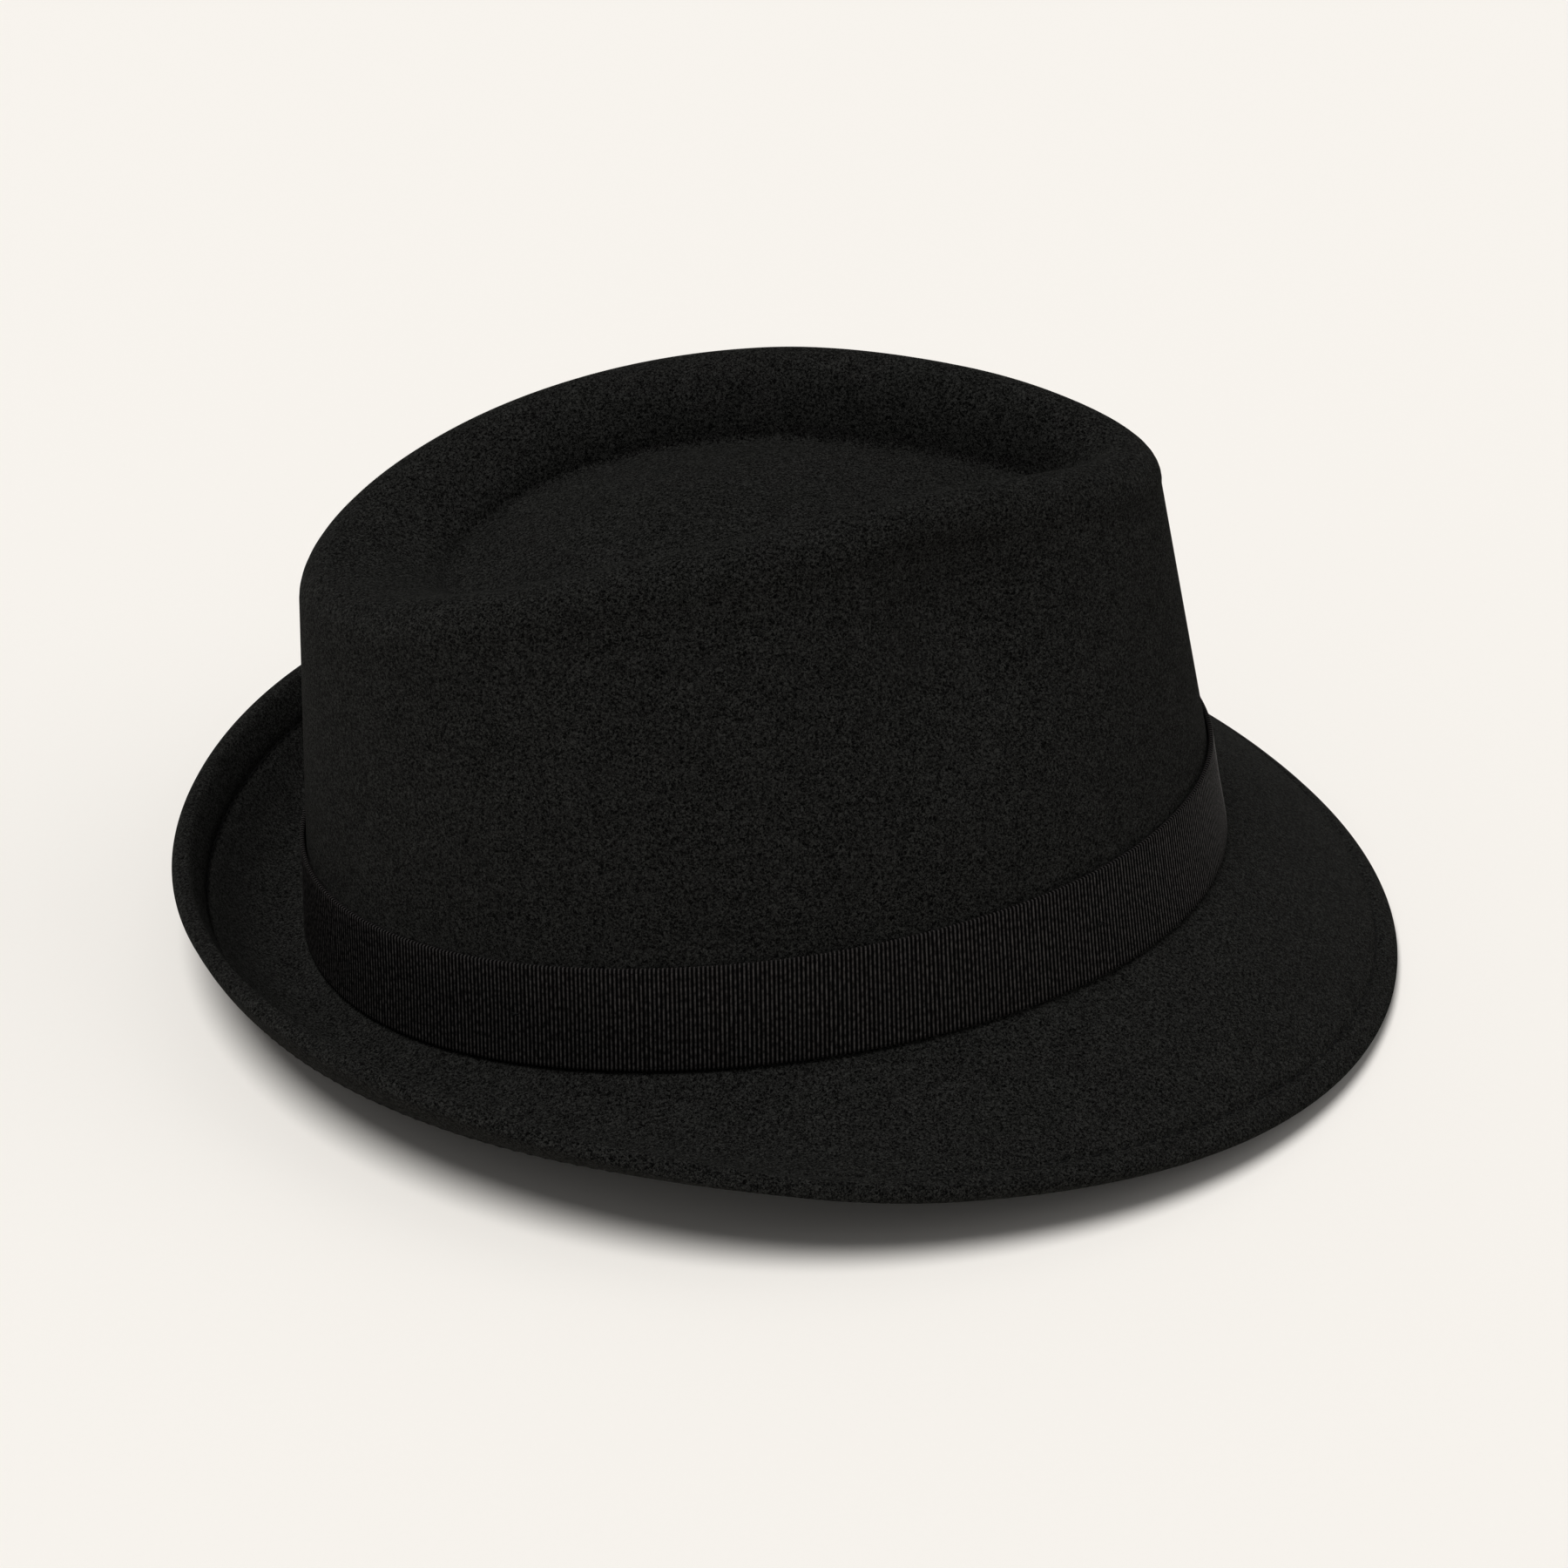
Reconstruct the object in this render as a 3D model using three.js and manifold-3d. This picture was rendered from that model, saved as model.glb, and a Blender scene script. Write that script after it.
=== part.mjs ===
// A short-brimmed felt fedora (trilby): teardrop crown with two front pinches, brim snapped down in
// front and rolled up behind, stitched edge, grosgrain band with a flat bow, sweatband and lining.
// Millimetres. +X is the front of the hat, +Y the wearer's left, +Z up. Shapes are worked out from the
// middle of the head oval; the whole group is then set down on the table, z = 0.
import * as THREE from 'three';
import { mergeVertices } from 'three/addons/utils/BufferGeometryUtils.js';
import Module from 'manifold-3d';

const wasm = await Module();
wasm.setup();

// ---- driving dimensions -----------------------------------------------------------------------
const HEAD_LENGTH = 209;          // outside of the crown at the brim break, front to back
const HEAD_WIDTH = 178;           // the same, side to side
const CROWN_HEIGHT = 101;         // break to rim crest at the sides
const FELT = 2.0;                 // thickness of the blocked felt
const BRIM_FRONT = 43.5;          // brim width seen from above
const BRIM_SIDE = 37.8;
const BRIM_REAR = 27.5;
const WELT_WIDTH = 5.5;           // edge folded under and stitched down
const WELT_THICK = 3.8;
const RIBBON_WIDTH = 23;
const RIBBON_THICK = 0.7;
const SWEATBAND_WIDTH = 36;
const SWEATBAND_THICK = 1.0;
const SWEATBAND_EASE = 0.4;       // it stands a little off the lining, sewn only at its lower edge
const LINING_THICK = 0.6;
const THREAD = 0.8;
const CLEARANCE = 0.3;            // between pieces that touch

// heights of the break line and of the brim edge round the hat: mean, front-to-back tilt, side lift
const BREAK_HEIGHT = 20.9;
const BREAK_TILT = 13.3;
const BREAK_SADDLE = -3.9;
const EDGE_DROP = 3.5;            // the edge's mean height below the break's
const EDGE_TILT = -13.3;
const EDGE_SADDLE = -4.5;
const EDGE_SNAP = 2.0;            // third harmonic: the quick change from rolled up to snapped down

// slope of the brim where it leaves the crown, and where it ends: harmonics round the hat
const SLOPE_OUT = [-0.57, 0.12, -0.07];
const CURL = [0.66, -1.89, 0.07, 0.42];

// crown top: the teardrop rim, the moat inside it and the low dome in the middle
const RIM_FRONT = 78.5;            // reach of the rim crest ahead of and behind the middle
const RIM_REAR = 92;
const RIM_HALF_WIDTH = 41;
const RIM_BACK = 3.2;             // its middle sits this far behind the middle of the head oval
const RIM_TEAR = 0.33;            // how much narrower the front of the teardrop is
const RIM_TILT = 12.9;
const RIM_SADDLE = -7.8;
const SHOULDER = 9;               // radius from the wall over to the crest
const MOAT_DEPTH = 12.8;          // mean; deepest at the sides, shallow at the back
const MOAT_TILT = 4.5;
const MOAT_SADDLE = -3.8;
const MOAT_PLACE = 0.27;          // from the crest (0) to the middle of the crown (1)
const MOAT_FRONT = 0.14;          // how much nearer to the crest it runs at the front
const MOAT_STEEP = 0.8;           // how far its outer wall rolls over to upright
const DOME_FULL = 0.75;           // how full the dome is beside the moat
const DOME_SINK = 12;             // middle of the dome below the side rim
const DOME_X = -11.2;
const PINCH_DEPTH = 9.5;
const PINCH_ANGLE = 66;           // degrees each side of the front
const PINCH_SPREAD = 14;
const PINCH_RISE = 0.83;          // up the wall, from the break (0) to the shoulder (1)
const PINCH_TALL = 0.18;

const SNAP_LINE = HEAD_LENGTH / 2 + 2.8;   // x of the fold about which the front brim snaps
const REST_FLAT = 0.5;            // felt pressed flat where the hat stands

// pieces sewn on and in
const BOW_ANGLE = 92;             // degrees round from the front, on the wearer's left
const BOW_LOOP = 27;
const BOW_KNOT = 9;
const BOW_TAIL = 10;
const TACK = 2.4;
const TACK_ANGLES = { near_front: -51, near_rear: -125, far_front: 51, far_rear: 133 };
const LINING_TUCK = 12;           // lining hidden behind the sweatband
const LINING_ROWS = [0.4, 0.49, 0.58, 0.66, 0.74];   // up the wall; the last is where it meets the tip
const LINING_TIP_RISE = 14;
const PATCH_LENGTH = 62;
const PATCH_WIDTH = 44;
const PATCH_EASE = 0.4;           // the patch hangs a little from its sewn rim
const LABEL_WIDTH = 22;
const LABEL_LENGTH = 26;
const LABEL_THICK = 0.5;
const SIZE_LABEL = 14;
const REED = 1.3;

const AROUND = 60;                // steps round the hat
const RAD = Math.PI / 180;
const STEP = 1e-3;

// ---- the felt surface ---------------------------------------------------------------------------
const smooth = (g) => g * g * (3 - 2 * g);
const mix = (a, b, f) => a + (b - a) * f;

function breakHeight(t) {
  return BREAK_HEIGHT + BREAK_TILT * Math.cos(t) + BREAK_SADDLE * Math.cos(2 * t);
}

function brimWidth(t) {
  const mean = (BRIM_FRONT + BRIM_REAR + 2 * BRIM_SIDE) / 4;
  const lean = (BRIM_FRONT - BRIM_REAR) / 2;
  const ends = (BRIM_FRONT + BRIM_REAR - 2 * BRIM_SIDE) / 4;
  return mean + lean * Math.cos(t) + ends * Math.cos(2 * t);
}

// u runs along the brim from the break (0) to the edge (1): down and out, then curling up at the
// sides and back, or straight down at the snapped front
function brimPoint(t, u) {
  const width = brimWidth(t);
  const edge = BREAK_HEIGHT - EDGE_DROP + EDGE_TILT * Math.cos(t)
    + EDGE_SADDLE * Math.cos(2 * t) + EDGE_SNAP * Math.cos(3 * t);
  const rise = edge - breakHeight(t);
  const startSlope = SLOPE_OUT[0] + SLOPE_OUT[1] * Math.cos(t) + SLOPE_OUT[2] * Math.cos(2 * t);
  const endSlope = CURL[0] + CURL[1] * Math.cos(t) + CURL[2] * Math.cos(2 * t)
    + CURL[3] * Math.cos(3 * t);
  const bend = rise * smooth(u) + width * startSlope * u * (1 - u) ** 2
    + width * endSlope * u * u * (u - 1);
  return new THREE.Vector3(
    (HEAD_LENGTH / 2 + width * u) * Math.cos(t),
    (HEAD_WIDTH / 2 + width * u) * Math.sin(t),
    breakHeight(t) + bend);
}

function rimPoint(t) {
  const reach = Math.cos(t) > 0 ? RIM_FRONT : RIM_REAR;
  return new THREE.Vector3(
    reach * Math.cos(t) - RIM_BACK,
    RIM_HALF_WIDTH * Math.sin(t) * (1 - RIM_TEAR * Math.cos(t)),
    BREAK_HEIGHT - BREAK_SADDLE + CROWN_HEIGHT + RIM_SADDLE
      + RIM_TILT * Math.cos(t) + RIM_SADDLE * Math.cos(2 * t));
}

function pinch(t, v) {
  const aside = (Math.abs(t) / RAD - PINCH_ANGLE) / PINCH_SPREAD;
  const above = (v - PINCH_RISE) / PINCH_TALL;
  return PINCH_DEPTH * Math.exp(-aside * aside - above * above);
}

// v runs up the wall from the break (0) to the shoulder (1), over to the rim crest (2), down to the
// floor of the moat (2.5) and on to the middle of the dome (3)
function crownPoint(t, v) {
  const rim = rimPoint(t);
  const out = new THREE.Vector3(Math.cos(t), Math.sin(t), 0);
  if (v <= 1) {
    const bow = 0.5 * Math.sin(t) ** 2;
    const lean = (1 - bow) * v + bow * v * v;
    const top = rim.clone().addScaledVector(out, SHOULDER);
    return new THREE.Vector3(
      mix(HEAD_LENGTH / 2 * Math.cos(t), top.x, lean),
      mix(HEAD_WIDTH / 2 * Math.sin(t), top.y, lean),
      mix(breakHeight(t), rim.z - SHOULDER, v)).addScaledVector(out, -pinch(t, v));
  }
  if (v <= 2) {
    const arc = (v - 1) * Math.PI / 2;
    return rim.addScaledVector(out, SHOULDER * Math.cos(arc) - pinch(t, 1) * (2 - v))
      .setZ(rim.z - SHOULDER + SHOULDER * Math.sin(arc));
  }
  const depth = MOAT_DEPTH + MOAT_TILT * Math.cos(t) + MOAT_SADDLE * Math.cos(2 * t);
  const dome = BREAK_HEIGHT - BREAK_SADDLE + CROWN_HEIGHT - DOME_SINK;
  const fall = Math.min(2 * (v - 2), 1);
  const swell = Math.max(2 * (v - 2) - 1, 0);
  const place = MOAT_PLACE - MOAT_FRONT * Math.max(Math.cos(t), 0) ** 3;
  const g = mix(place * mix(fall, Math.sin(Math.PI / 2 * fall), MOAT_STEEP), 1, swell);
  const floor = rim.z - depth * (1 - Math.cos(Math.PI / 2 * fall));
  const rise = mix(smooth(swell), Math.sin(Math.PI / 2 * swell), DOME_FULL);
  return new THREE.Vector3(
    mix(rim.x, DOME_X, g), mix(rim.y, 0, g), mix(floor, dome, rise));
}

// one line from the brim edge (0) over the break (1) to the middle of the dome (4)
function feltPoint(t, w) {
  return w < 1 ? brimPoint(t, 1 - w) : crownPoint(t, w - 1);
}

function feltNormal(t, w) {
  const ahead = feltPoint(t, Math.min(w + STEP, 4 - STEP));
  const behind = feltPoint(t, Math.max(w - STEP, 0));
  const along = ahead.sub(behind);
  const across = feltPoint(t + STEP, w).sub(feltPoint(t - STEP, w));
  return across.cross(along).normalize();
}

// a point at a depth under the felt's outer face; negative depths stand proud of it
function feltOffset(t, w, depth) {
  return feltPoint(t, w).addScaledVector(feltNormal(t, w), -depth);
}

// the place on the wall at a distance up its slope from the break
function wallPlace(t, height) {
  const slope = crownPoint(t, 0.3).distanceTo(crownPoint(t, 0)) / 0.3;
  return 1 + height / slope;
}

// ---- solids from rings --------------------------------------------------------------------------
function solidFromRings(rings, closed) {
  const around = rings[0].length;
  const points = rings.flat();
  const faces = [];
  const last = closed ? rings.length : rings.length - 1;
  for (let i = 0; i < last; i += 1) {
    const low = i * around;
    const high = ((i + 1) % rings.length) * around;
    for (let j = 0; j < around; j += 1) {
      const k = (j + 1) % around;
      faces.push(low + j, low + k, high + k, low + j, high + k, high + j);
    }
  }
  if (!closed) {
    for (const [ring, flip] of [[0, true], [rings.length - 1, false]]) {
      const centre = rings[ring].reduce((sum, p) => sum.add(p), new THREE.Vector3());
      const hub = points.push(centre.divideScalar(around)) - 1;
      for (let j = 0; j < around; j += 1) {
        const a = ring * around + j;
        const b = ring * around + (j + 1) % around;
        faces.push(...(flip ? [hub, b, a] : [hub, a, b]));
      }
    }
  }
  const geometry = new THREE.BufferGeometry().setFromPoints(points);
  geometry.setIndex(faces);
  return facingOut(geometry);
}

function facingOut(geometry) {
  const p = geometry.attributes.position;
  const index = geometry.index;
  const [a, b, c] = [new THREE.Vector3(), new THREE.Vector3(), new THREE.Vector3()];
  let volume = 0;
  for (let i = 0; i < index.count; i += 3) {
    a.fromBufferAttribute(p, index.getX(i));
    b.fromBufferAttribute(p, index.getX(i + 1));
    c.fromBufferAttribute(p, index.getX(i + 2));
    volume += a.dot(b.cross(c));
  }
  if (volume < 0) index.array.reverse();
  return geometry;
}

const angles = Array.from({ length: AROUND }, (_, j) => (j / AROUND) * 2 * Math.PI - Math.PI);
const ring = (place) => angles.map((t) => place(t));

function toManifold(geometry) {
  const clean = geometry.clone();
  for (const name of ['normal', 'uv']) clean.deleteAttribute(name);
  const merged = mergeVertices(clean, 1e-5);
  return new wasm.Manifold(new wasm.Mesh({
    numProp: 3,
    vertProperties: new Float32Array(merged.attributes.position.array),
    triVerts: new Uint32Array(merged.index.array),
  }));
}

function fromManifold(solid) {
  const mesh = solid.getMesh();
  const geometry = new THREE.BufferGeometry();
  geometry.setAttribute('position', new THREE.BufferAttribute(mesh.vertProperties, 3));
  geometry.setIndex(new THREE.BufferAttribute(mesh.triVerts, 1));
  return geometry;
}

// keeps what lies inside the box between two corners
function keepBox(geometry, low, high) {
  const size = high.clone().sub(low);
  const box = new THREE.BoxGeometry(size.x, size.y, size.z);
  box.translate((low.x + high.x) / 2, (low.y + high.y) / 2, (low.z + high.z) / 2);
  return fromManifold(toManifold(geometry).intersect(toManifold(box)));
}

// ---- felt ---------------------------------------------------------------------------------------
function feltThickness(t, w) {
  const fromEdge = w < 1 ? w * brimWidth(t) : Infinity;
  return fromEdge < WELT_WIDTH + 0.1 ? WELT_THICK : FELT;
}

function feltSolid() {
  const weltPlaces = (t) => [0.02, WELT_WIDTH / brimWidth(t), (WELT_WIDTH + 2) / brimWidth(t)];
  const brimPlaces = [0.34, 0.5, 0.66, 0.8, 0.93, 1];
  const crownPlaces = [1.06, 1.22, ...LINING_ROWS.map((v) => 1 + v), 1.87, 2, 2.25, 2.5, 2.75, 3,
    3.1, 3.2, 3.3, 3.4, 3.5, 3.6, 3.72, 3.84, 3.96];
  const rows = [0, 1, 2].map((i) => (t) => weltPlaces(t)[i])
    .concat([...brimPlaces, ...crownPlaces].map((w) => () => w));
  const top = rows.map((row) => ring((t) => feltPoint(t, row(t))));
  const under = rows.map((row) => ring((t) => feltOffset(t, row(t), feltThickness(t, row(t)))));
  const edge = [0.85, 0.5, 0.15].map((f) => ring((t) => {
    const out = new THREE.Vector3(Math.cos(t), Math.sin(t), 0);
    const bulge = WELT_THICK / 2 * Math.sqrt(1 - (2 * f - 1) ** 2);
    return feltOffset(t, 0.02, WELT_THICK * (1 - f)).addScaledVector(out, bulge * 0.6);
  }));
  return solidFromRings([...top.reverse(), ...edge, ...under], false);
}

const FAR = 400;
const feltRaw = feltSolid();
feltRaw.computeBoundingBox();
const TABLE = feltRaw.boundingBox.min.z + REST_FLAT;
const foldHeight = feltPoint(0, 1 - (SNAP_LINE - HEAD_LENGTH / 2) / BRIM_FRONT).z + CLEARANCE;

function rearSide(geometry) {
  return keepBox(geometry, new THREE.Vector3(-FAR, -FAR, TABLE),
    new THREE.Vector3(SNAP_LINE - CLEARANCE / 2, FAR, FAR));
}

function frontSide(geometry) {
  return keepBox(geometry, new THREE.Vector3(SNAP_LINE + CLEARANCE / 2, -FAR, TABLE),
    new THREE.Vector3(FAR, FAR, foldHeight + 2 * THREAD));
}

// ---- bands and patches that follow the felt -------------------------------------------------------
// a closed band between two heights up the wall, at depths under the felt's outer face
function wallBand(low, high, steps, outerDepth, innerDepth) {
  const heights = Array.from({ length: steps + 1 }, (_, i) => (t) => mix(low(t), high(t), i / steps));
  const outside = heights.map((h) => ring((t) => feltOffset(t, h(t), outerDepth)));
  const inside = heights.map((h) => ring((t) => feltOffset(t, h(t), innerDepth)));
  return solidFromRings([...outside, ...inside.reverse()], true);
}

// a small piece lying on the wall: from angle t0 to t1, between two heights, at two depths
function wallPatch(t0, t1, low, high, outerDepth, innerDepth, crown = 0) {
  const across = 6;
  const up = 2;
  const rings = [];
  for (let i = 0; i <= across; i += 1) {
    const t = mix(t0, t1, i / across);
    const swell = crown * Math.sin(Math.PI * i / across);
    const line = (depth) => Array.from({ length: up + 1 }, (_, j) => feltOffset(
      t, wallPlace(t, mix(low, high, j / up)), depth));
    rings.push([...line(outerDepth - swell), ...line(innerDepth).reverse()]);
  }
  return solidFromRings(rings, false);
}

// the angle taken up by a length along the ribbon, at the side or round the ends
function turn(length, t) {
  const across = crownPoint(t + STEP, 0.1).distanceTo(crownPoint(t - STEP, 0.1)) / (2 * STEP);
  return length / across;
}

function edgeThread() {
  const line = (lift, side) => ring((t) => feltOffset(
    t, (WELT_WIDTH + side * THREAD) / brimWidth(t), -lift));
  const low = CLEARANCE;
  const high = CLEARANCE + THREAD * 0.6;
  return solidFromRings([line(low, -0.5), line(high, -0.4), line(high, 0.4), line(low, 0.5)], true);
}

// ---- ribbon, bow and tacks ------------------------------------------------------------------------
const RIBBON_LOW = 0.6;
const RIBBON_HIGH = RIBBON_LOW + RIBBON_WIDTH;
const ribbonFace = -(CLEARANCE + RIBBON_THICK);

function hatband() {
  return wallBand((t) => wallPlace(t, RIBBON_LOW), (t) => wallPlace(t, RIBBON_HIGH), 2,
    ribbonFace, -CLEARANCE);
}

function bowPieces() {
  const middle = BOW_ANGLE * RAD;
  const half = turn(BOW_KNOT / 2, middle);
  const loop = turn(BOW_LOOP, middle);
  const tail = turn(BOW_TAIL, middle);
  const gap = turn(CLEARANCE, middle);
  const tailInner = ribbonFace - CLEARANCE;
  const loopInner = tailInner - RIBBON_THICK - CLEARANCE;
  const loopOuter = loopInner - 2 * RIBBON_THICK;
  const lift = 0.8;
  return {
    bow_tail: wallPatch(middle + gap, middle + half + loop + tail, RIBBON_LOW + lift,
      RIBBON_HIGH - lift, tailInner - RIBBON_THICK, tailInner),
    bow_front_loop: wallPatch(middle - half - loop, middle - half - gap, RIBBON_LOW + lift,
      RIBBON_HIGH - lift, loopOuter, loopInner, RIBBON_THICK),
    bow_rear_loop: wallPatch(middle + half + gap, middle + half + loop, RIBBON_LOW + lift,
      RIBBON_HIGH - lift, loopOuter, loopInner, RIBBON_THICK),
    bow_knot: wallPatch(middle - half, middle + half, RIBBON_LOW + lift / 2,
      RIBBON_HIGH - lift / 2, loopOuter - RIBBON_THICK, loopInner, RIBBON_THICK),
  };
}

function tack(angle) {
  const t = angle * RAD;
  const half = turn(TACK / 2, t);
  const middle = (RIBBON_LOW + RIBBON_HIGH) / 2;
  const inner = ribbonFace - CLEARANCE;
  return wallPatch(t - half, t + half, middle - TACK / 4, middle + TACK / 4, inner - THREAD / 2, inner);
}

// ---- inside the crown -----------------------------------------------------------------------------
const liningOuter = FELT + CLEARANCE;
const liningInner = liningOuter + LINING_THICK;
const sweatOuter = liningInner + CLEARANCE + SWEATBAND_EASE;
const sweatInner = sweatOuter + SWEATBAND_THICK;
const SWEATBAND_LOW = REED + CLEARANCE;

function sweatband() {
  return wallBand((t) => wallPlace(t, SWEATBAND_LOW),
    (t) => wallPlace(t, SWEATBAND_LOW + SWEATBAND_WIDTH), 5, sweatOuter, sweatInner);
}

function sweatbandReed() {
  return wallBand((t) => wallPlace(t, 0), (t) => wallPlace(t, REED), 1, sweatOuter - CLEARANCE,
    sweatInner + CLEARANCE);
}

function sweatbandStitching() {
  const height = SWEATBAND_LOW + 2.5;
  const inner = sweatInner + CLEARANCE;
  return wallBand((t) => wallPlace(t, height), (t) => wallPlace(t, height + THREAD), 1, inner,
    inner + THREAD / 2);
}

// its lower edge is tucked behind the sweatband, and stays below the first of its rows
const liningLow = (t) => Math.min(wallPlace(t, SWEATBAND_LOW + SWEATBAND_WIDTH - LINING_TUCK),
  0.95 + LINING_ROWS[0]);
const liningTop = 1 + LINING_ROWS.at(-1);

function liningSide() {
  const rows = [liningLow, ...LINING_ROWS.map((v) => () => 1 + v)];
  const outside = rows.map((row) => ring((t) => feltOffset(t, row(t), liningOuter)));
  const inside = rows.map((row) => ring((t) => feltOffset(t, row(t), liningInner)));
  return solidFromRings([...outside, ...inside.reverse()], true);
}

// the tip spans the crown just above the side lining, rising gently to the middle
function liningTipPoint(t, g, drop) {
  const seam = feltOffset(t, liningTop + 0.012, liningOuter + CLEARANCE);
  const front = feltOffset(0, liningTop, liningOuter).z;
  const back = feltOffset(Math.PI, liningTop, liningOuter).z;
  const middle = (front + back) / 2 + LINING_TIP_RISE;
  return new THREE.Vector3(mix(seam.x, DOME_X, g), mix(seam.y, 0, g),
    mix(seam.z, middle, smooth(g)) - drop);
}

function liningTip() {
  const places = [0, 0.15, 0.3, 0.45, 0.6, 0.75, 0.96];
  const upper = places.map((g) => ring((t) => liningTipPoint(t, g, 0)));
  const lower = places.map((g) => ring((t) => liningTipPoint(t, g, LINING_THICK)));
  return solidFromRings([...upper.reverse(), ...lower], false);
}

function liningPatch() {
  const reach = (t) => Math.hypot(liningTipPoint(t, 0, 0).x - DOME_X, liningTipPoint(t, 0, 0).y);
  const share = (t, f) => {
    const oval = 1 / Math.hypot(Math.cos(t) * 2 / PATCH_LENGTH, Math.sin(t) * 2 / PATCH_WIDTH);
    return 1 - f * oval / reach(t);
  };
  const under = LINING_THICK + CLEARANCE + PATCH_EASE;
  const upper = [0.1, 0.55, 1].map((f) => ring((t) => liningTipPoint(t, share(t, f), under)));
  const lower = [1, 0.55, 0.1].map((f) => ring((t) => liningTipPoint(
    t, share(t, f), under + LINING_THICK)));
  return solidFromRings([...upper, ...lower], false);
}

function sizeLabel() {
  const t = 150 * RAD;
  const half = turn(SIZE_LABEL / 2, t);
  const low = SWEATBAND_LOW + SWEATBAND_WIDTH * 0.4;
  const inner = sweatInner + CLEARANCE;
  return wallPatch(t - half, t + half, low, low + SIZE_LABEL * 0.8, inner, inner + LABEL_THICK);
}

// a cloth label sewn by its upper edge to the back of the sweatband, free to swing
function careLabel() {
  const back = feltOffset(Math.PI, wallPlace(Math.PI, SWEATBAND_WIDTH), sweatInner);
  const curveIn = 2.5;
  const label = new THREE.BoxGeometry(LABEL_THICK, LABEL_WIDTH, LABEL_LENGTH);
  label.translate(back.x + curveIn + LABEL_THICK / 2, 0, back.z - LABEL_LENGTH / 2);
  return label;
}

// ---- the hat --------------------------------------------------------------------------------------
const felt = { color: '#1a1918', roughness: 0.95, metalness: 0 };
const grosgrain = { color: '#1b1717', roughness: 0.7, metalness: 0 };
const thread = { color: '#0c0c0d', roughness: 0.8, metalness: 0 };
const leather = { color: '#201a17', roughness: 0.55, metalness: 0 };
const satin = { color: '#1c1b20', roughness: 0.35, metalness: 0 };
const tape = { color: '#d8d4ca', roughness: 0.8, metalness: 0 };

// the origin is on the table under the middle of the hat's length
const hat = new THREE.Group();
const MIDDLE = (feltRaw.boundingBox.min.x + feltRaw.boundingBox.max.x) / 2;
hat.position.set(-MIDDLE, 0, -TABLE);

function add(name, geometry, finish) {
  const mesh = new THREE.Mesh(geometry, new THREE.MeshStandardMaterial(finish));
  mesh.name = name;
  hat.add(mesh);
}

add('felt_body', rearSide(feltRaw), felt);
add('front_brim', frontSide(feltRaw), felt);
add('edge_stitching', rearSide(edgeThread()), thread);
add('edge_stitching_front', frontSide(edgeThread()), thread);
add('hatband', hatband(), grosgrain);
for (const [name, geometry] of Object.entries(bowPieces())) add(name, geometry, grosgrain);
for (const [name, angle] of Object.entries(TACK_ANGLES)) add(`ribbon_tack_${name}`, tack(angle), thread);
add('sweatband', sweatband(), leather);
add('sweatband_reed', sweatbandReed(), thread);
add('sweatband_stitching', sweatbandStitching(), thread);
add('lining_side', liningSide(), satin);
add('lining_tip', liningTip(), satin);
add('lining_patch', liningPatch(), satin);
add('size_label', sizeLabel(), tape);
add('care_label', careLabel(), tape);

export default hat;
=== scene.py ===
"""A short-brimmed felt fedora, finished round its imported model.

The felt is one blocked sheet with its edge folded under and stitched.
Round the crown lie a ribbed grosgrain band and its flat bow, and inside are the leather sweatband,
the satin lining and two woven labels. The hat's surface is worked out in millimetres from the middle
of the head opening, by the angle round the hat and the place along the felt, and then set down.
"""

import math

import bmesh
import bpy
import numpy as np
from bpy.props import FloatProperty, FloatVectorProperty, PointerProperty
from mathutils import Matrix, Vector


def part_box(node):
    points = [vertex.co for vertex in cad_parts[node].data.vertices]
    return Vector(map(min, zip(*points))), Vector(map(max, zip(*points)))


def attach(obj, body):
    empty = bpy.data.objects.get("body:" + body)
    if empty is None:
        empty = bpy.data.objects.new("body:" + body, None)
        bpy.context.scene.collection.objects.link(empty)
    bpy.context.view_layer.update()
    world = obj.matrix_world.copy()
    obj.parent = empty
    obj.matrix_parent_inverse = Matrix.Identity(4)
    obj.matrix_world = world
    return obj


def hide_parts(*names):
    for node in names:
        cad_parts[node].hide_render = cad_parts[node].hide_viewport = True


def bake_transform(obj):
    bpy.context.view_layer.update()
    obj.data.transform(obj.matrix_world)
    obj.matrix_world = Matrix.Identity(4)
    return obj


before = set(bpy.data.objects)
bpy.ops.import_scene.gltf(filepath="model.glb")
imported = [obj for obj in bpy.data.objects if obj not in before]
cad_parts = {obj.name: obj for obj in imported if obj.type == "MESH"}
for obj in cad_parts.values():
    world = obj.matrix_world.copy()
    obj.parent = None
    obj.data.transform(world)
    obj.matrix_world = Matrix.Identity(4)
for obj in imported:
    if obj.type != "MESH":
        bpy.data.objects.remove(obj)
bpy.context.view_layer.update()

bl_info = {
    "name": "Felt Fedora",
    "version": (1, 0, 0),
    "blender": (4, 5, 0),
    "location": "View3D > Sidebar > Fedora",
    "description": "Builds a stitched felt fedora with its ribbon, sweatband and lining",
    "category": "Object",
}

MM = 0.001
TAU = 2 * math.pi

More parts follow.
